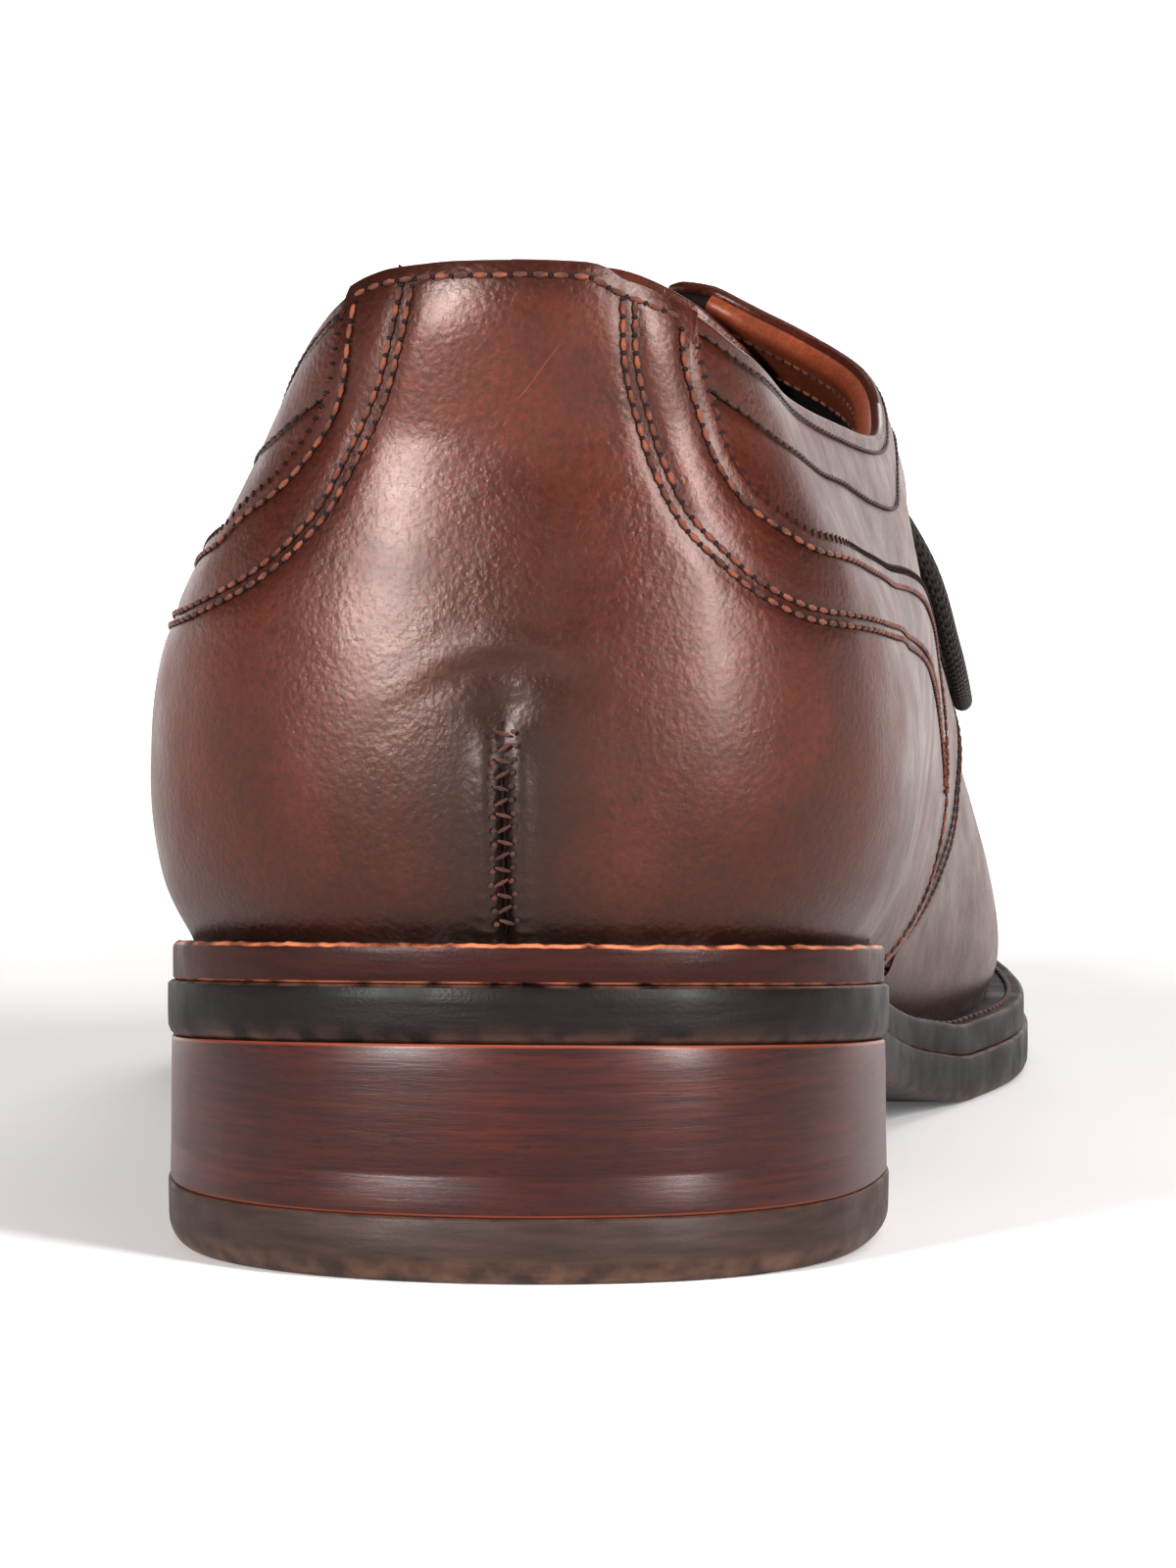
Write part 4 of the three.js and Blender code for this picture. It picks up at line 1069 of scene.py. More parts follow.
def make_stitches():
    for thread, (name, material) in THREADS.items():
        stitches, holes = [], []
        for line, lift, row_thread, pitch, radius in SEAMS.rows:
            if row_thread != thread:
                continue
            points, normals = stitch_places(line, lift, pitch)
            for i in range(len(points) - 1):
                along = points[i + 1] - points[i]
                up = normals[i] + normals[i + 1]
                centre = (points[i] + points[i + 1]) / 2 + 0.02 * up
                sizes = (STITCH_REACH * pitch, radius, STITCH_FLATNESS * radius)
                stitches.append(placed(centre, along, up, sizes))
                # Painted shade: a dark speck in each needle hole
                holes.append(placed(points[i], along, up, (0.26, radius, 0.12)))
        stitch = grain_of_rice(f"{name}_stitch")
        hole = grain_of_rice(f"{name}_hole", rings=3)
        show(f"{name}_stitches", repeated(stitch, stitches), material)
        show(f"{name}_holes", repeated(hole, holes), HOLE_SHADE)


# Panels
GROOVE_REACH = 0.75
GROOVE_DEPTH = 0.22
CUT_EDGE_ROUND = 0.22
SEWN_TOGETHER = 0.05
# A panel's foot is tucked down behind the welt, and the tuck fades over this share of a level
FOOT_DROP = 1.0
FOOT_REACH = 0.06


def finish_edges(obj, thickness, width, offset=-1.0):
    wall = obj.modifiers.new("thickness", "SOLIDIFY")
    wall.thickness = thickness * MM
    wall.offset = offset
    edge = obj.modifiers.new("soft_edge", "BEVEL")
    edge.width = width * MM
    edge.segments = 2
    edge.limit_method = "ANGLE"
    edge.angle_limit = math.radians(50)


def panel(
    name, sheets, lift, thickness, material, replaced=(), seams=(), press=None, foot_drop=0.0,
    burnish_and_shade=None,
):
    """A leather panel: its sheets over the last, sewn into one, with thickness and soft edges."""
    whole = bmesh.new()
    for uv in sheets:
        whole.from_mesh(pressed_sheet(name, uv, lift, seams, press, foot_drop, burnish_and_shade))
    bmesh.ops.remove_doubles(whole, verts=whole.verts, dist=SEWN_TOGETHER * MM)
    mesh = bpy.data.meshes.new(name)
    whole.to_mesh(mesh)
    whole.free()
    smooth_shaded(mesh)
    obj = show(name, mesh, material, replaced)
    finish_edges(obj, thickness, CUT_EDGE_ROUND)


def pressed_sheet(name, uv, lift, seams, press, foot_drop, burnish_and_shade):
    """A sheet over the last at its lift, its stitched grooves and creases pressed in."""
    uv = uv.copy()
    uv[..., 1] = np.clip(uv[..., 1], 0, TOP_LEVEL)
    normals = last_normal(uv[..., 0], uv[..., 1])
    points = skin(uv, lift)
    if foot_drop:
        near_foot = np.exp(-uv[..., 1] / FOOT_REACH)
        points[..., 2] -= foot_drop * near_foot
    depth, seam = np.zeros(uv.shape[:2]), np.zeros(uv.shape[:2])
    if seams:
        tree = seam_points(seams, lift)
        far = np.array([tree.find(point)[2] for point in points.reshape(-1, 3)]).reshape(depth.shape)
        # Nearness to a row of stitches: the groove is pressed in by it, and the leather's material paints
        # shade along it
        seam = np.exp(-(far / GROOVE_REACH) ** 2) * 0.9
        depth += GROOVE_DEPTH * seam
    if press:
        depth += press(points)
    points = points - depth[..., None] * normals
    # Painted shade, and burnishing at the toe, kept as an attribute for the leather's material
    dark = np.clip(burnish_and_shade(points), 0, 1) if burnish_and_shade else np.zeros(depth.shape)
    mesh = grid_of(name, points, {"seam": seam, "burnish_and_shade": dark}, closed=False)
    turned_out(mesh)
    return mesh


def turned_out(mesh, up=False):
    """Faces of an open sheet that look into the shoe are turned round."""
    bm = bmesh.new()
    bm.from_mesh(mesh)
    bm.normal_update()
    inside = Vector(in_metres([-1, 130, 45]))
    outward = 0
    for face in list(bm.faces)[::37]:
        centre = face.calc_center_median()
        away = Vector((0, 0, 1)) if up else centre - Vector((inside.x, centre.y, inside.z))
        outward += away.dot(face.normal)
    if outward < 0:
        bmesh.ops.reverse_faces(bm, faces=bm.faces)
    bm.to_mesh(mesh)
    bm.free()


def toe_burnish_and_foot_shade(points):
    """Painted shade near the sole, where the upper meets the welt, and darker burnishing at the toe."""
    foot = np.exp(-np.maximum(points[..., 2] - sole_top(points[..., 1]), 0) / 5.0)
    toe = np.clip((points[..., 1] - 235) / 70, 0, 1) * 0.8
    return 0.85 * foot + toe


def foxing_burnish_and_shade(points):
    """As the upper: painted shade by the welt and burnishing at the toe, with more painted shade round the
    seam down the back and under the collar's edge.
    """
    # Painted shade round the seam down the back
    dart = np.exp(-(points[..., 0] / 9) ** 2) * np.exp(-((points[..., 2] - 46) / 15) ** 2) * 1.3
    dart = dart * (points[..., 1] < 30)
    # Painted shade under the collar's folded edge
    neck = np.exp(-((points[..., 2] - 93) / 3) ** 2) * 0.5
    return toe_burnish_and_foot_shade(points) + 0.7 * dart + neck


# The seam down the back: the height of its top, and its place sideways
DART_TOP = 52
DART_AT = -0.3


def back_dart(points):
    """The seam down the back of the heel: a slit between raised lips, puckered at its top."""
    x, z = points[..., 0] - DART_AT, points[..., 2]
    behind = (points[..., 1] < 20)
    fade = np.clip((DART_TOP - z) / 6, 0, 1)
    slit = 0.75 * np.exp(-(x / 0.5) ** 2)
    lips = 0.42 * (np.exp(-((x - 1.7) / 1.0) ** 2) + np.exp(-((x + 1.7) / 1.0) ** 2))
    ripple = 1 + 0.3 * np.sin(z * 4.33)
    arch = z - (56.5 - 0.035 * (x - 1) ** 2)
    pucker = 0.45 * np.exp(-(arch / 1.0) ** 2) - 0.4 * np.exp(-((arch - 1.9) / 1.2) ** 2)
    pucker = pucker * np.exp(-(x / 6) ** 2)
    dimple = 0.6 * np.exp(-(x / 2.2) ** 2) * np.exp(-((z - 53) / 2.2) ** 2)
    return behind * (fade * (slit - lips * ripple) + pucker + dimple)


# The row along the collar and down outside the eyelets, on either side
FACING_ROW = np.array([
    (17.2, 8.5, 82.1), (21.4, 11.8, 79.8), (25.5, 19.9, 76.5), (28.2, 36, 74.2), (29.5, 49, 73.1),
    (31.2, 67, 71), (32.3, 84, 70.5), (32.5, 98, 73.5), (31, 110, 77.5), (28, 122, 79.5),
    (26, 134, 77), (25.5, 148, 72), (26, 162, 65), (27.5, 174, 57.5), (28.5, 180, 53.5),
])


# How far rows of stitches lie from an edge or from each other
TWIN_HALF_GAP = 0.55
COLLAR_SEAM = 1.3
THROAT_SEAM = 2.0
FRONT_SEAMS = (1.6, 3.4)


def gather_seams():
    """The rows on the foxing and the quarters, in the thread that each is sewn with."""
    for side, pattern in PATTERN.items():
        edge_index, collar_index = crossing(pattern.foxing_row, pattern.collar)
        row = pattern.foxing_row[edge_index + 4:]
        SEAMS.add(row, FOXING_LIFT, "tan")
        twin_index, _ = crossing(pattern.twin_row, pattern.collar)
        twin = pattern.twin_row[twin_index + 4:]
        for off in (-TWIN_HALF_GAP, TWIN_HALF_GAP):
            SEAMS.add(even(shifted(twin, side * off), 300), FOXING_LIFT, "tan", pitch=1.6)
        collar_row = even(shifted(pattern.collar, -side * COLLAR_SEAM), 300)
        near = nearest_index(collar_row, skin(pattern.foxing_edge[edge_index:edge_index + 1], 1.0)[0])
        SEAMS.add(collar_row[:near], FOXING_LIFT, "tan")
        SEAMS.add(collar_row[near:], QUARTER_LIFT, "brown", pitch=1.6, radius=0.2)
        facing_row = traced(FACING_ROW * [side, 1, 1], side, (0.3, 1, 1), QUARTER_LIFT)
        SEAMS.add(even(facing_row, 300), QUARTER_LIFT, "brown", pitch=1.7, radius=0.22)
        throat_row = even(shifted(pattern.throat[2:], -side * THROAT_SEAM), 200)
        SEAMS.add(throat_row[4:-14], QUARTER_LIFT, "brown", pitch=1.7, radius=0.22)
        for off in FRONT_SEAMS:
            front_row = even(shifted(pattern.quarter_front[14:], -side * off), 300)
            SEAMS.add(front_row, QUARTER_LIFT, "brown", pitch=1.8, radius=0.24)
        tack = pattern.twin_row[-1:] + np.linspace(-0.08, 0.35, 8)[:, None] * [0, 1]
        SEAMS.add(tack, FOXING_LIFT + 0.15, "tan", pitch=0.8, radius=0.4)


gather_seams()
# Creases across the vamp: place, how much they bow, their reach to the sides and their depth
FLEX_CREASES = ((203, -9, 30, 0.5), (210, -10, 26, 0.35), (197, -7, 22, 0.3))
# Folds at the ankle: place, height, slope and depth
ANKLE_CREASES = ((96, 67, 0.25, 0.3), (112, 70, 0.45, 0.35), (128, 62, 0.6, 0.25))


def flex_creases(points):
    """Soft creases across the vamp where the toes bend."""
    x, at = points[..., 0], points[..., 1]
    depth = np.zeros(x.shape)
    for place, bow, reach, size in FLEX_CREASES:
        off = at - (place + bow * (x / 40) ** 2)
        along = np.exp(-((x - 3) / reach) ** 4)
        depth += size * along * (np.exp(-(off / 1.6) ** 2) - 0.45 * np.exp(-((off - 3.2) / 2) ** 2))
    return depth


def ankle_creases(points):
    """Slack folds below the collar's dip and ahead of the heel."""
    at, z = points[..., 1], points[..., 2]
    depth = np.zeros(at.shape)
    for from_at, from_z, slope, size in ANKLE_CREASES:
        off = z - (from_z + slope * (at - from_at))
        along = np.exp(-((at - from_at) / 13) ** 2)
        depth += size * along * (np.exp(-(off / 1.5) ** 2) - 0.5 * np.exp(-((off - 2.8) / 1.8) ** 2))
    return depth


# The spacing of a panel's columns and the number of its rows
GRID = 0.9
LINING_GRID = 1.4
FOXING_ROWS = 62
PANEL_ROWS = 60
LINING_ROWS = 50
# The thickness of each panel's leather
FOXING_THICKNESS = 0.8
QUARTER_THICKNESS = 1.0
VAMP_THICKNESS = 1.4
LINING_THICKNESS = 1.8
TONGUE_THICKNESS = 1.9
FACING_THICKNESS = 0.2


def make_panels():
    foxing = foxing_sheet(GRID, FOXING_ROWS)
    panel(
        "foxing", [foxing], FOXING_LIFT, FOXING_THICKNESS, CALF, ["upper"],
        SEAMS.on(FOXING_LIFT), back_dart, FOOT_DROP, foxing_burnish_and_shade,
    )
    for side, word in SIDES.items():
        quarter = quarter_sheet(side, GRID, PANEL_ROWS)
        panel(
            f"quarter_{word}", [quarter], QUARTER_LIFT, QUARTER_THICKNESS, CALF, (),
            SEAMS.on(QUARTER_LIFT), ankle_creases, FOOT_DROP, toe_burnish_and_foot_shade,
        )
    halves = [vamp_sheet(side, PANEL_ROWS) for side in SIDES]
    panel(
        "vamp", halves, VAMP_LIFT, VAMP_THICKNESS, CALF, (),
        (), flex_creases, FOOT_DROP, toe_burnish_and_foot_shade,
    )
    lining = lining_sheet(LINING_GRID, LINING_ROWS)
    panel("lining", [lining], LINING_LIFT, LINING_THICKNESS, LINING)


make_panels()


# The tongue's places forward from its top to its foot, and its half widths there
TONGUE_AT = (126.5, 130, 140, THROAT_FOOT)
TONGUE_HALF_WIDTHS = (13, 20, 21.5, 17.5)


def make_tongue():
    """The tongue: a strip under the facings, its top standing above them."""
    at = np.linspace(TONGUE_AT[0], TONGUE_AT[-1], 90)
    share = np.linspace(-1, 1, 41)
    halves = np.interp(at, TONGUE_AT, TONGUE_HALF_WIDTHS)
    x = crest_at(at)[:, None] + halves[:, None] * share[None]
    places = np.stack([x, np.broadcast_to(at[:, None], x.shape), np.full(x.shape, ANY_HEIGHT)], -1)
    uv = np.empty(x.shape + (2,))
    for side in SIDES:
        mine = share * side >= 0
        found = on_skin(places[:, mine].reshape(-1, 3), side, FROM_ABOVE, 0.0)
        uv[:, mine] = found.reshape(len(at), -1, 2)
    uv[:, len(share) // 2, 1] = TOP_LEVEL
    points = skin(uv, TONGUE_LIFT)
    puff = 0.5 * np.exp(-((at - 131) / 4) ** 2)
    points[..., 2] += puff[:, None] * (1 - share[None] ** 2)
    mesh = grid_of("tongue_panel", points, closed=False)
    turned_out(mesh, up=True)
    obj = show("tongue_panel", mesh, CALF, ["tongue"])
    finish_edges(obj, TONGUE_THICKNESS, 0.5)


# The facing's strip over the collar's top: how far down it is, and its lift
FACING_PROFILE = (
    (0.5, 0.05), (-0.1, -0.05), (-0.4, -0.4), (-0.5, -0.9), (-0.45, -1.5), (-0.1, -2.0), (0.5, -2.2),
    (1.5, -2.25), (3.5, -2.3), (6, -2.3), (9, -2.25),
)
# How far down the facing its two rows of stitches run
FACING_SEAMS = (2.2, 8.0)
FOLD_RADIUS = 0.72


def make_topline():
    """The folded edge of the collar and facings, and the cognac facing inside it."""
    for side, pattern in PATTERN.items():
        word = SIDES[side]
        _, throat_index = crossing(pattern.quarter_front, pattern.throat)
        line = joined(pattern.collar, pattern.throat[:throat_index])
        edge = even(line, 260)
        fold = tube(f"folded_edge_{word}", skin(edge, 0.25), FOLD_RADIUS, 8)
        show(f"folded_edge_{word}", fold, CALF)
        collar = even(pattern.collar, 200)
        points = np.array([skin(shifted(collar, -side * down, -2.0), lift) for down, lift in FACING_PROFILE])
        mesh = grid_of(f"inner_facing_{word}", points, closed=False)
        obj = show(f"inner_facing_{word}", mesh, FACING)
        finish_edges(obj, FACING_THICKNESS, 0.06, offset=0)
        for down in FACING_SEAMS:
            SEAMS.add(even(shifted(collar, -side * down, -2.4), 260), -2.5, "tan", pitch=1.8, radius=0.22)


# The cut edge's teeth: one in each pitch, reaching out by the depth
PINK_PITCH = 1.35
PINK_DEPTH = 0.75


def make_pinking():
    """The foxing's upper edge, cut by a pinking wheel: a tooth, and a dark speck of painted shade in the
    notch, in turn.
    """
    tooth = bpy.data.meshes.new("pinked_tooth")
    bm = bmesh.new()
    bmesh.ops.create_cone(bm, cap_ends=True, segments=3, radius1=1, radius2=0.9, depth=2)
    bm.to_mesh(tooth)
    bm.free()
    teeth, cuts = [], []
    for side, pattern in PATTERN.items():
        edge_index, _ = crossing(pattern.foxing_edge, pattern.collar)
        nose = int(np.argmax(skin(pattern.foxing_edge, 1.0)[:, 1]))
        line = pattern.foxing_edge[edge_index + 3:nose]
        points, normals = stitch_places(line, FOXING_LIFT - 0.42, PINK_PITCH)
        for i in range(1, len(points) - 1):
            along = points[i + 1] - points[i - 1]
            out = np.cross(normals[i], along) * side
            teeth.append(placed(points[i], out, normals[i], (PINK_DEPTH, 0.62, 0.38)))
            # Painted shade: a dark speck in the notch between two teeth
            cut = (points[i] + points[i + 1]) / 2 + 0.44 * normals[i]
            cuts.append(placed(cut, out, normals[i], (0.42, 0.2, 0.08)))
    show("pinked_edge", repeated(tooth, teeth), CALF)
    notch = grain_of_rice("pinked_notch_shade", rings=3)
    show("pinked_notch_shades", repeated(notch, cuts), HOLE_SHADE)


# How closely a place down the back keeps its three coordinates
BACK_WEIGHTS = (1, 0.15, 1)
# A pale scratch high on the heel's back
SCRATCH = np.array([(0.9, 2, 80.7), (2.0, 2, 82), (3.2, 2, 83.7), (4.7, 2, 85.6)])


def make_dart():
    """The seam down the heel's back: a dark tube of painted shade in its slit, and the thread laced from lip
    to lip.
    """
    heights = np.linspace(sole_top(0.0) + 0.6, DART_TOP - 0.5, 60)
    wander = 0.16 * np.sin(heights * 0.8) + 0.08 * np.sin(heights * 2.7)
    places = np.column_stack([DART_AT + wander, np.zeros(60), heights])
    slit = on_skin(places, 0, BACK_WEIGHTS, FOXING_LIFT)
    points = skin(slit, FOXING_LIFT - 0.5)
    # Painted shade: a dark tube laid in the slit's groove
    show("dart_slit_shade", tube("dart_slit_shade", points, 0.2, 6), HOLE_SHADE)
    rungs = []
    for i, height in enumerate(np.arange(heights[0] + 1, DART_TOP - 1.5, 1.25)):
        middle = np.array([np.interp(height, heights, points[:, axis]) for axis in range(3)])
        across = Vector((1.0, 0, 0.55 if i % 2 else -0.25))
        rungs.append(placed(middle + [0, -0.85, 0], across, (0, -1, 0), (0.85, 0.2, 0.22)))
        for side in SIDES:
            end = middle + [side * 0.95, -0.92, side * 0.2]
            rungs.append(placed(end, across, (0, -1, 0), (0.3, 0.26, 0.2)))
    scratch = on_skin(SCRATCH, 0, BACK_WEIGHTS, FOXING_LIFT)
    scratch = skin(even(scratch, 40), FOXING_LIFT - 0.02)
    show("scratch", tube("scratch", scratch, 0.045, 5), FACING)
    show("dart_thread", repeated(grain_of_rice("dart_stitch"), rungs), BROWN_THREAD)


make_dart()
make_tongue()
make_topline()
make_pinking()


# The sole, welt, rand and heel
WELT_INSET = 0.5
BREAST_STEPS = 50
BREAST_HOLLOW = 1.2
# How far forward the middle line runs that closes the heel's plates
HEEL_SPINE = 58
# How far in the hidden side of the rand and the welt lies
BAND_WIDTH = 9.0


def outline(name, inset, u):
    """Places in plan of a level's outline, drawn in by inset, at the station counts u."""
    ring = RINGS[name]

    def place(u):
        row = np.floor(u).astype(int)
        near = ring[(row[:, None] + np.arange(-1, 3)) % ROWS]
        return np.einsum("ni,nij->nj", spline_weights(u - row), near)

    along = place(u + 0.05) - place(u - 0.05)
    along /= np.linalg.norm(along, axis=1)[:, None]
    return place(u) + inset * np.stack([-along[:, 1], along[:, 0]], 1)


def even_counts(name, from_u, to_u, count):
    fine = np.linspace(from_u, to_u, 2000)
    places = outline(name, 0, fine)
    along = np.concatenate([[0], np.cumsum(np.linalg.norm(np.diff(places, axis=0), axis=1))])
    return np.interp(np.linspace(0, along[-1], count), along, fine)


def breast_counts():
    """Station counts where the sole's edge passes the heel breast, on each side."""
    fine = np.linspace(3, 6, 600)
    inner = fine[np.searchsorted(outline("edge", 0, fine)[:, 1], HEEL_LENGTH)]
    outer = fine[np.searchsorted(outline("edge", 0, -fine)[:, 1], HEEL_LENGTH)]
    return inner, outer


INNER_BREAST, OUTER_BREAST = breast_counts()
MIDLINE = (MEDIAL_SIDE[:, 1] - LATERAL_SIDE[:, 1]) / 200 * BALL_WIDTH


def to_spine(places, share, back, front):
    """Places in plan drawn towards the shoe's middle line, to close a plate."""
    at = np.clip(places[:, 1], back, front)
    spine = np.stack([np.interp(at, STATIONS, MIDLINE), at], 1)
    return places * (1 - share) + spine * share


def lifted(places, height):
    return np.column_stack([places, height(places[:, 1]) * np.ones(len(places))])


def closed_plate(name, loop, profile, back, front, material, replaced, sharp=45):
    """A plate closed above and below: loop(inset) is its outline, and profile goes from its
    lower to its upper edge, each row an inset, a height and how worn it is."""
    rings, wear = [], []
    for share in (1, 0.7, 0.35):
        rings.append(lifted(to_spine(loop(profile[0][0]), share, back, front), profile[0][1]))
        wear.append(0)
    for inset, height, worn in profile:
        rings.append(lifted(loop(inset), height))
        wear.append(worn)
    for share in (0.35, 0.7, 1):
        rings.append(lifted(to_spine(loop(profile[-1][0]), share, back, front), profile[-1][1]))
        wear.append(0)
    points = np.array(rings)
    worn = np.broadcast_to(np.array(wear)[:, None], points.shape[:2])
    mesh = grid_of(name, points, {"worn": worn})
    smooth_shaded(mesh, sharp)
    return show(name, mesh, material, replaced)


def whole_loop(inset):
    places = outline("edge", inset, even_counts("edge", 0, ROWS, 520))
    places[-1] = places[0]
    return places


def heel_loop(inset):
    arc = outline("edge", inset, even_counts("edge", -OUTER_BREAST, INNER_BREAST, 300))
    arc[[0, -1], 1] = HEEL_LENGTH
    across = np.linspace(0, 1, BREAST_STEPS)[1:, None]
    breast = arc[-1] * (1 - across) + arc[0] * across
    breast[:, 1] -= BREAST_HOLLOW * np.sin(np.pi * across[:, 0])
    return np.vstack([arc, breast])


# Heights of a profile's row, each a function of the place forward

def above(base, rise):
    return lambda at: base(at) + rise


def level(height):
    return lambda at: height


def under_sole(drop):
    return lambda at: HEEL_HEIGHT - HEEL_PITCH * at - drop


def make_outsole():
    profile = [
        (1.3, above(sole_bottom, 0), 0.2), (0.75, above(sole_bottom, 0.12), 0.3),
        (0.3, above(sole_bottom, 0.5), 0.3), (0.05, above(sole_bottom, 1.1), 0.1),
        (0, above(sole_bottom, 2.2), 0), (0, above(outsole_top, -1.6), 0),
        (0.02, above(outsole_top, -0.3), 0), (0.14, above(outsole_top, -0.12), 0.5),
        (0.4, above(outsole_top, 0.05), 0.5),
    ]
    closed_plate(
        "outsole_body", whole_loop, profile, HEEL_CENTRE, TOE_CENTRE, BLACK_EDGE,
        ["outsole"], 60,
    )


def make_heel():
    """The stack of leather layers, and the rubber top lift that it stands on."""
    profile = [
        (0.5, level(TOP_LIFT_HEIGHT), 0.9), (0.28, level(TOP_LIFT_HEIGHT + 0.14), 0.8),
        (0.22, level(TOP_LIFT_HEIGHT + 0.3), 0),
    ]
    for height, dent in ((6.9, 0), (9.8, 0), (10.0, 0.05), (10.2, 0)):
        profile.append((0.2 + 0.02 * height - 0.13 + dent, level(height), 0))
    profile += [
        (0.34, under_sole(2.4), 0), (0.4, under_sole(0.35), 0), (0.46, under_sole(0.16), 0.6),
        (0.6, under_sole(0.0), 0.6),
    ]
    closed_plate(
        "heel_stack_body", heel_loop, profile, HEEL_CENTRE, HEEL_SPINE, HEEL_STACK,
        ["heel_stack"],
    )
    profile = []
    for turn in np.radians(np.linspace(0, 90, 8)):
        inset = 0.05 + 2.1 * (1 - math.sin(turn))
        profile.append((inset, level(2.7 * (1 - math.cos(turn))), 0.75 * math.cos(turn)))
    profile += [
        (0.0, level(TOP_LIFT_HEIGHT - 0.4), 0), (0.12, level(TOP_LIFT_HEIGHT - 0.08), 0.3),
        (0.4, level(TOP_LIFT_HEIGHT), 0),
    ]
    closed_plate(
        "top_lift_body", heel_loop, profile, HEEL_CENTRE, HEEL_SPINE, LIFT_RUBBER,
        ["top_lift"], 60,
    )


# Chips in the top edge: place sideways and depth
CHIPS = ((-28, 0.35), (-6, 0.3), (9.5, 0.45), (14, 0.3))


def nicked(along):
    """How deep the top edge is rubbed and chipped, at places along it."""
    rubbed = 0.1 * np.sin(along * 0.9) * np.sin(along * 2.3 + 1) + 0.06 * np.sin(along * 5.1)
    chips = sum(size * np.exp(-((along - place) / 0.55) ** 2) for place, size in CHIPS)
    return rubbed + chips


def edge_band(name, counts, material, replaced, worn_top):
    """The rand or the welt: a strip round the edge, its section closed and its ends capped."""
    section = [
        (BAND_WIDTH, above(sole_top, -0.1), 0), (BAND_WIDTH, above(outsole_top, 0.05), 0),
        (0.85, above(outsole_top, 0.05), 0.3), (0.6, above(outsole_top, 0.22), 0.7),
        (WELT_INSET, above(outsole_top, 0.4), 0), (WELT_INSET, above(sole_top, -0.75), 0),
        (0.53, above(sole_top, -0.42), 0), (0.6, above(sole_top, -0.26), worn_top),
        (0.76, above(sole_top, -0.09), worn_top), (1.0, above(sole_top, 0.0), worn_top),
        (1.3, above(sole_top, 0.0), 0), (BAND_WIDTH, above(sole_top, -0.1), 0),
    ]
    rings = [lifted(outline("edge", inset, counts), height) for inset, height, _ in section]
    points = np.array(rings).transpose(1, 0, 2)
    nicks = nicked(points[:, 0, 0]) * worn_top
    points[:, 5:10, 2] -= nicks[:, None] * np.linspace(0.3, 1, 5)
    middle = points.mean(axis=1, keepdims=True)
    caps = [np.broadcast_to(end, points[:1].shape) for end in (middle[:1], middle[-1:])]
    points = np.vstack([caps[0], points, caps[1]])
    worn = np.broadcast_to(np.array([row[2] for row in section])[None], points.shape[:2])
    mesh = grid_of(name, points, {"worn": worn})
    return show(name, mesh, material, replaced)


def make_bands():
    rand = even_counts("edge", -OUTER_BREAST, INNER_BREAST, 280)
    edge_band("heel_rand_strip", rand, RAND, ["heel_rand"], 0.9)
    welt = even_counts("edge", INNER_BREAST, ROWS - OUTER_BREAST, 460)
    edge_band("welt_strip", welt, BLACK_EDGE, ["welt"], 0.35)
    stitched = even_counts("edge", INNER_BREAST + 0.1, ROWS - OUTER_BREAST - 0.1, 200)
    places = lifted(outline("edge", 2.5, stitched), above(sole_top, 0.08))
    stitches = []
    for start, end in zip(places, places[1:]):
        half_length = 0.4 * np.linalg.norm(end - start)
        stitches.append(placed((start + end) / 2, end - start, (0, 0, 1), (half_length, 0.42, 0.3)))
    show("welt_stitches", repeated(grain_of_rice("welt_stitch"), stitches), BROWN_THREAD)


def make_sock():
    """The sock and insole: a plate inside, dished under the heel."""
    counts = even_counts("feather", 0, ROWS, 300)

    def loop(inset):
        places = outline("feather", inset, counts)
        places[-1] = places[0]
        return places

    top = above(sole_top, GAP + 3)
    profile = [
        (4.0, above(outsole_top, GAP), 0), (4.0, above(sole_top, 1.5), 0), (4.05, above(sole_top, 2.9), 0),
        (4.5, above(sole_top, 3.3), 0), (5.5, top, 0), (9.0, above(sole_top, GAP + 2.6), 0),
    ]
    closed_plate(
        "insole_and_sock", loop, profile, HEEL_CENTRE, TOE_CENTRE, SOCK, ["insole"],
    )


make_outsole()
make_heel()
make_bands()
make_sock()


# Eyelets, the lace's bars and the knot

def eyelet_places():
    """Each eyelet's name, and its centre in station and level counts."""
    for pair in range(EYELET_PAIRS):
        at = EYELET_FIRST_AT + pair * EYELET_PITCH
        for side, word in SIDES.items():
            x = crest_at(at) + side * (throat_half_gap(at) + EYELET_FROM_EDGE)
            uv = on_skin([[x, at, ANY_HEIGHT]], side, FROM_ABOVE, 0.0)[0]
            yield f"{word}_{pair + 1}", uv


# The eyelet's section: radius, and height over the last
EYELET_PROFILE = (
    (1.45, -2.55), (3.3, -2.55), (3.3, -2.3), (1.85, -2.2), (1.85, 0.9), (2.5, 0.95), (2.55, 1.12),
    (2.2, 1.3), (1.7, 1.26), (1.45, 1.0),
)
# The disc of painted shade inside each eyelet: its radius and its lift over the last
HOLE_SHADE_RADIUS = 1.6
HOLE_SHADE_LIFT = 1.04


def spun(bm, corners, steps, closed):
    """The surface that a profile sweeps when it is turned once round the upright axis."""
    profile = [bm.verts.new(place) for place in corners]
    after = profile[1:] + profile[:1] if closed else profile[1:]
    edges = [bm.edges.new(pair) for pair in zip(profile, after)]
    bmesh.ops.spin(
        bm, geom=profile + edges, axis=(0, 0, 1), cent=(0, 0, 0), angle=2 * math.pi, steps=steps,
        use_merge=True,
    )


def standing(uv, lift):
    """A matrix that stands a shape on the last, square to the leather."""
    normal = Vector(last_normal(uv[0], uv[1]))
    turn = normal.to_track_quat("Z", "Y").to_matrix().to_4x4()
    return Matrix.Translation(in_metres(skin(uv, lift))) @ turn


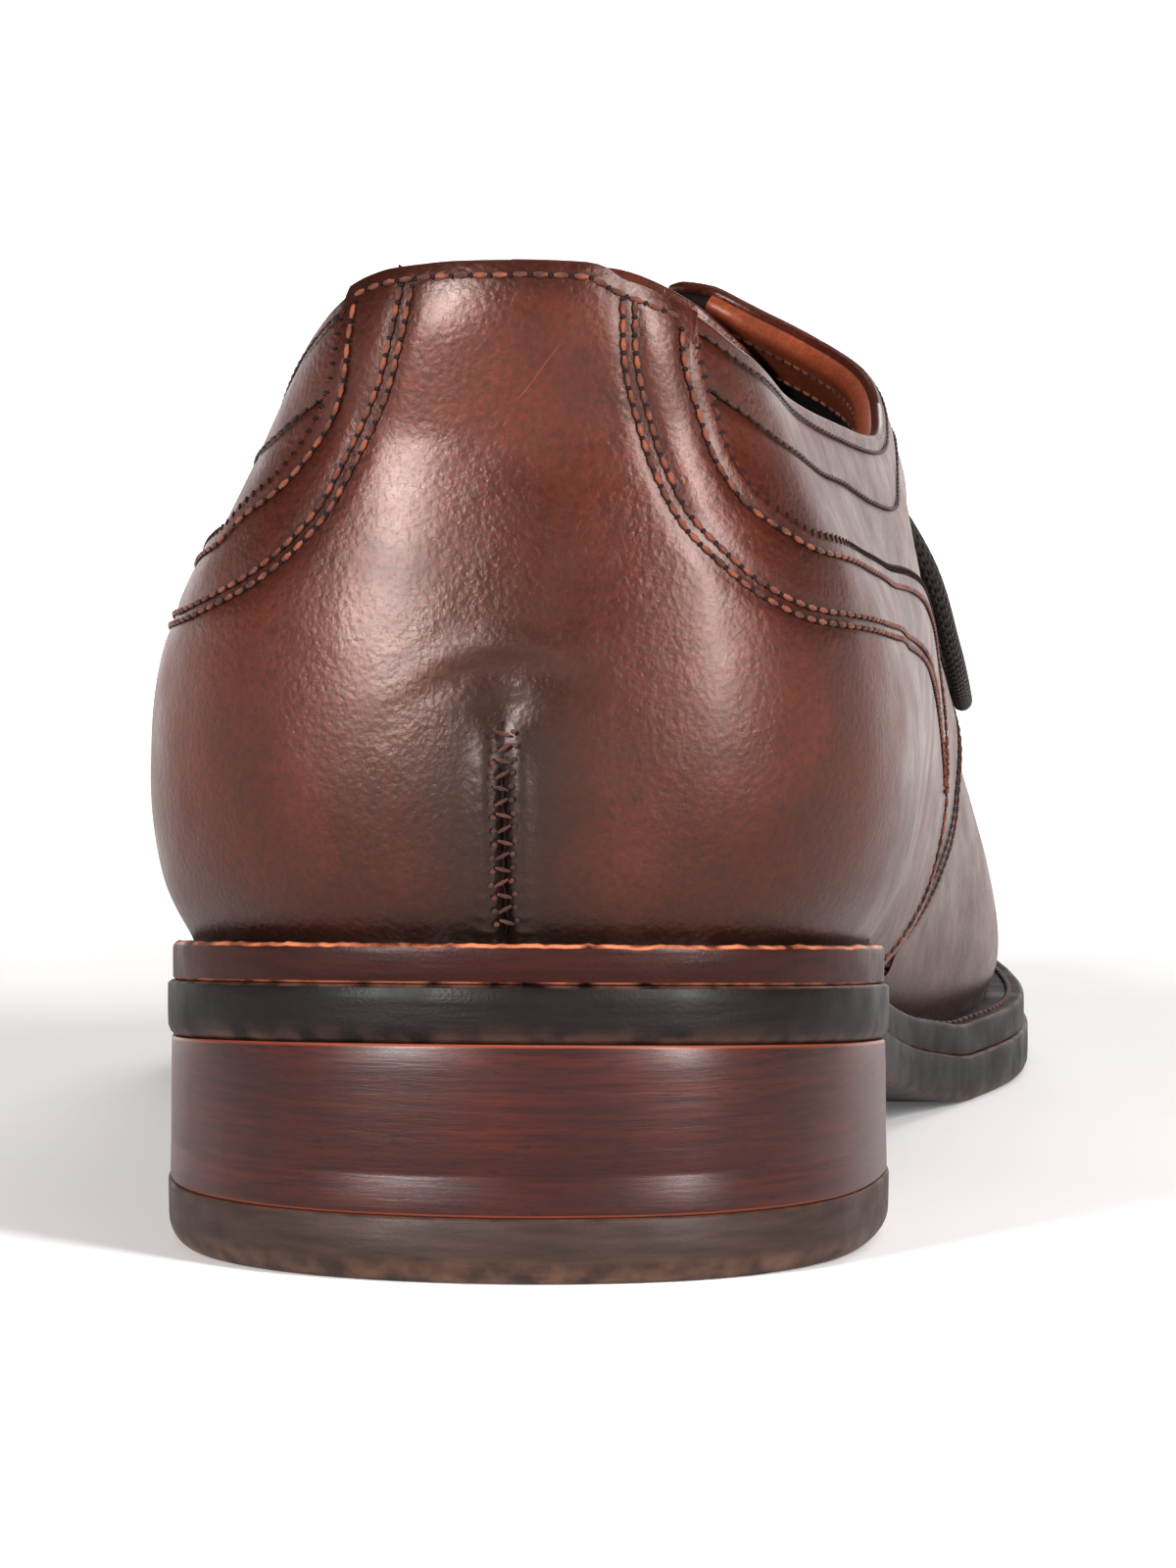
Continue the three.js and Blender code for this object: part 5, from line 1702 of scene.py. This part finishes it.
def make_eyelets():
    corners = [(radius, 0, height) for radius, height in EYELET_PROFILE]
    for name, uv in eyelet_places():
        bm = bmesh.new()
        spun(bm, corners, steps=24, closed=True)
        bmesh.ops.recalc_face_normals(bm, faces=bm.faces)
        bmesh.ops.transform(bm, matrix=standing(uv, 0.0) @ Matrix.Scale(MM, 4), verts=bm.verts)
        mesh = bpy.data.meshes.new(f"eyelet_ring_{name}")
        bm.to_mesh(mesh)
        bm.free()
        smooth_shaded(mesh)
        show(f"eyelet_ring_{name}", mesh, EYELET, [f"eyelet_{name}"])


def make_hole_shades():
    """Painted shade inside each eyelet: a dark disc in the lining's black over the punched hole."""
    bm = bmesh.new()
    for _, uv in eyelet_places():
        bmesh.ops.create_circle(
            bm, cap_ends=True, segments=20, radius=HOLE_SHADE_RADIUS * MM,
            matrix=standing(uv, HOLE_SHADE_LIFT),
        )
    mesh = bpy.data.meshes.new("eyelet_hole_shades")
    bm.to_mesh(mesh)
    bm.free()
    show("eyelet_hole_shades", mesh, LINING)


# A bar's points: shares of its half length, and lifts over the last
BAR_SHARES = np.array([-1, -1, -0.93, -0.8, -0.55, -0.28, 0, 0.28, 0.55, 0.8, 0.93, 1, 1])
BAR_LIFTS = np.array([-2.0, 0.6, 1.9, 2.45, 2.6, 2.5, 2.4, 2.5, 2.6, 2.45, 1.9, 0.6, -2.0])


def make_bars():
    """The lace's bars, each from one eyelet of a pair across the throat to the other."""
    for pair in range(EYELET_PAIRS):
        at = EYELET_FIRST_AT + pair * EYELET_PITCH
        reach = throat_half_gap(at) + EYELET_FROM_EDGE
        x = crest_at(at) + BAR_SHARES * reach
        uv = np.empty((len(x), 2))
        for side in SIDES:
            mine = BAR_SHARES * side >= 0
            places = [(place, at, ANY_HEIGHT) for place in x[mine]]
            uv[mine] = on_skin(places, side, FROM_ABOVE, 0.0)
        name = f"bar_{pair + 1}"
        bar = tube(name, curved(skin(uv, BAR_LIFTS), 6), LACE_RADIUS)
        show(name, bar, LACE, [f"lace_{name}"])


KNOT_CENTRE = np.array([-1.4, 150.4, 93.2])
# Wraps of the knot: place sideways, half length, half height, lean and girth
KNOT_WRAPS = (
    (0.0, 3.6, 2.3, 8, 1.25), (-2.7, 3.0, 1.9, -22, 1.1), (2.7, 3.0, 1.9, 24, 1.1),
    (-4.6, 2.0, 1.3, -40, 0.95), (4.6, 2.0, 1.3, 42, 0.95),
)


def make_knot():
    """The knot: five wraps of the lace, pulled tight."""
    uv = on_skin([KNOT_CENTRE], lift=3.4)[0]
    up = last_normal(uv[0], uv[1])
    side = np.array([1.0, 0, 0])
    ahead = np.cross(up, side)
    whole = bmesh.new()
    for off, length, height, lean, girth in KNOT_WRAPS:
        turn = np.linspace(0, 2 * np.pi, 33)[:-1, None]
        tilt = math.tan(math.radians(lean))
        round_ = length * np.cos(turn) * (ahead + tilt * side) + height * np.sin(turn) * up
        path = KNOT_CENTRE + off * side + round_
        whole.from_mesh(tube("wrap", np.vstack([path, path[:2]]), girth, 10))
    mesh = bpy.data.meshes.new("knot_wraps")
    whole.to_mesh(mesh)
    whole.free()
    smooth_shaded(mesh)
    show("knot_wraps", mesh, LACE, ["lace_knot"])


make_eyelets()
make_hole_shades()
make_bars()
make_knot()
make_stitches()


# The studio: a pale floor and softboxes in a dim white room
# The floor's profile in metres, from its middle outward and up into a low wall
FLOOR_PROFILE = ((0, 0, 0), (1, 0, 0), (2.2, 0, 0), (2.6, 0, 0.06), (2.85, 0, 0.25), (2.95, 0, 0.7))
ROOM_LIGHT = 0.08
# Deepens the darks, as the photograph's strong contrast does
DISPLAY_GAMMA = 0.8
# Softboxes: place and size in metres, and power in watts
SOFTBOXES = {
    "left_softbox": ((-0.66, -1.0, 0.46), 0.24, 0.5, 20),
    "right_softbox": ((0.84, -0.78, 0.54), 0.22, 0.9, 23),
    "overhead": ((0, 0.35, 1.25), 0.9, 0.9, 3),
    "far_softbox": ((0.45, 1.1, 0.8), 0.6, 0.5, 5),
}


def make_floor():
    """A pale floor that curves up into a low wall all round, and glows away from the shoe."""
    floor = Finish("pale_floor", roughness=0.75, specular=0.15)
    floor.paint(floor.mixed(floor.noise(60, detail=3), linear(243, 240, 239), linear(234, 231, 230)))
    split = floor.add("ShaderNodeSeparateXYZ", {"Vector": floor.object_place})
    squares = [floor.math("MULTIPLY", split.outputs[axis], split.outputs[axis]) for axis in range(2)]
    away = floor.math("ADD", *squares)
    floor.feed(floor.shader.inputs["Emission Color"], (1, 1, 1, 1))
    floor.feed(floor.shader.inputs["Emission Strength"], floor.steps(away, 0.06, 1.2, 0.12, 0.85))
    bm = bmesh.new()
    spun(bm, FLOOR_PROFILE, steps=64, closed=False)
    bmesh.ops.remove_doubles(bm, verts=bm.verts, dist=0.001)
    mesh = bpy.data.meshes.new("floor")
    bm.to_mesh(mesh)
    bm.free()
    smooth_shaded(mesh)
    ground = bpy.data.objects.new("floor", mesh)
    mesh.materials.append(floor.material)
    bpy.context.collection.objects.link(ground)


def make_lights():
    world = bpy.data.worlds.new("room")
    world.use_nodes = True
    sky = world.node_tree.nodes["Background"]
    sky.inputs["Color"].default_value = (1, 1, 1, 1)
    sky.inputs["Strength"].default_value = ROOM_LIGHT
    bpy.context.scene.world = world
    for name, (place, width, height, power) in SOFTBOXES.items():
        light = bpy.data.lights.new(name, "AREA")
        light.shape = "RECTANGLE"
        light.size = width
        light.size_y = height
        light.energy = power
        lamp = bpy.data.objects.new(name, light)
        lamp.location = place
        aim = Vector((0, 0.05, 0.05)) - Vector(place)
        lamp.rotation_euler = aim.to_track_quat("-Z", "Y").to_euler()
        bpy.context.collection.objects.link(lamp)


make_floor()
make_lights()
bpy.context.scene.view_settings.view_transform = "Standard"
bpy.context.scene.view_settings.gamma = DISPLAY_GAMMA
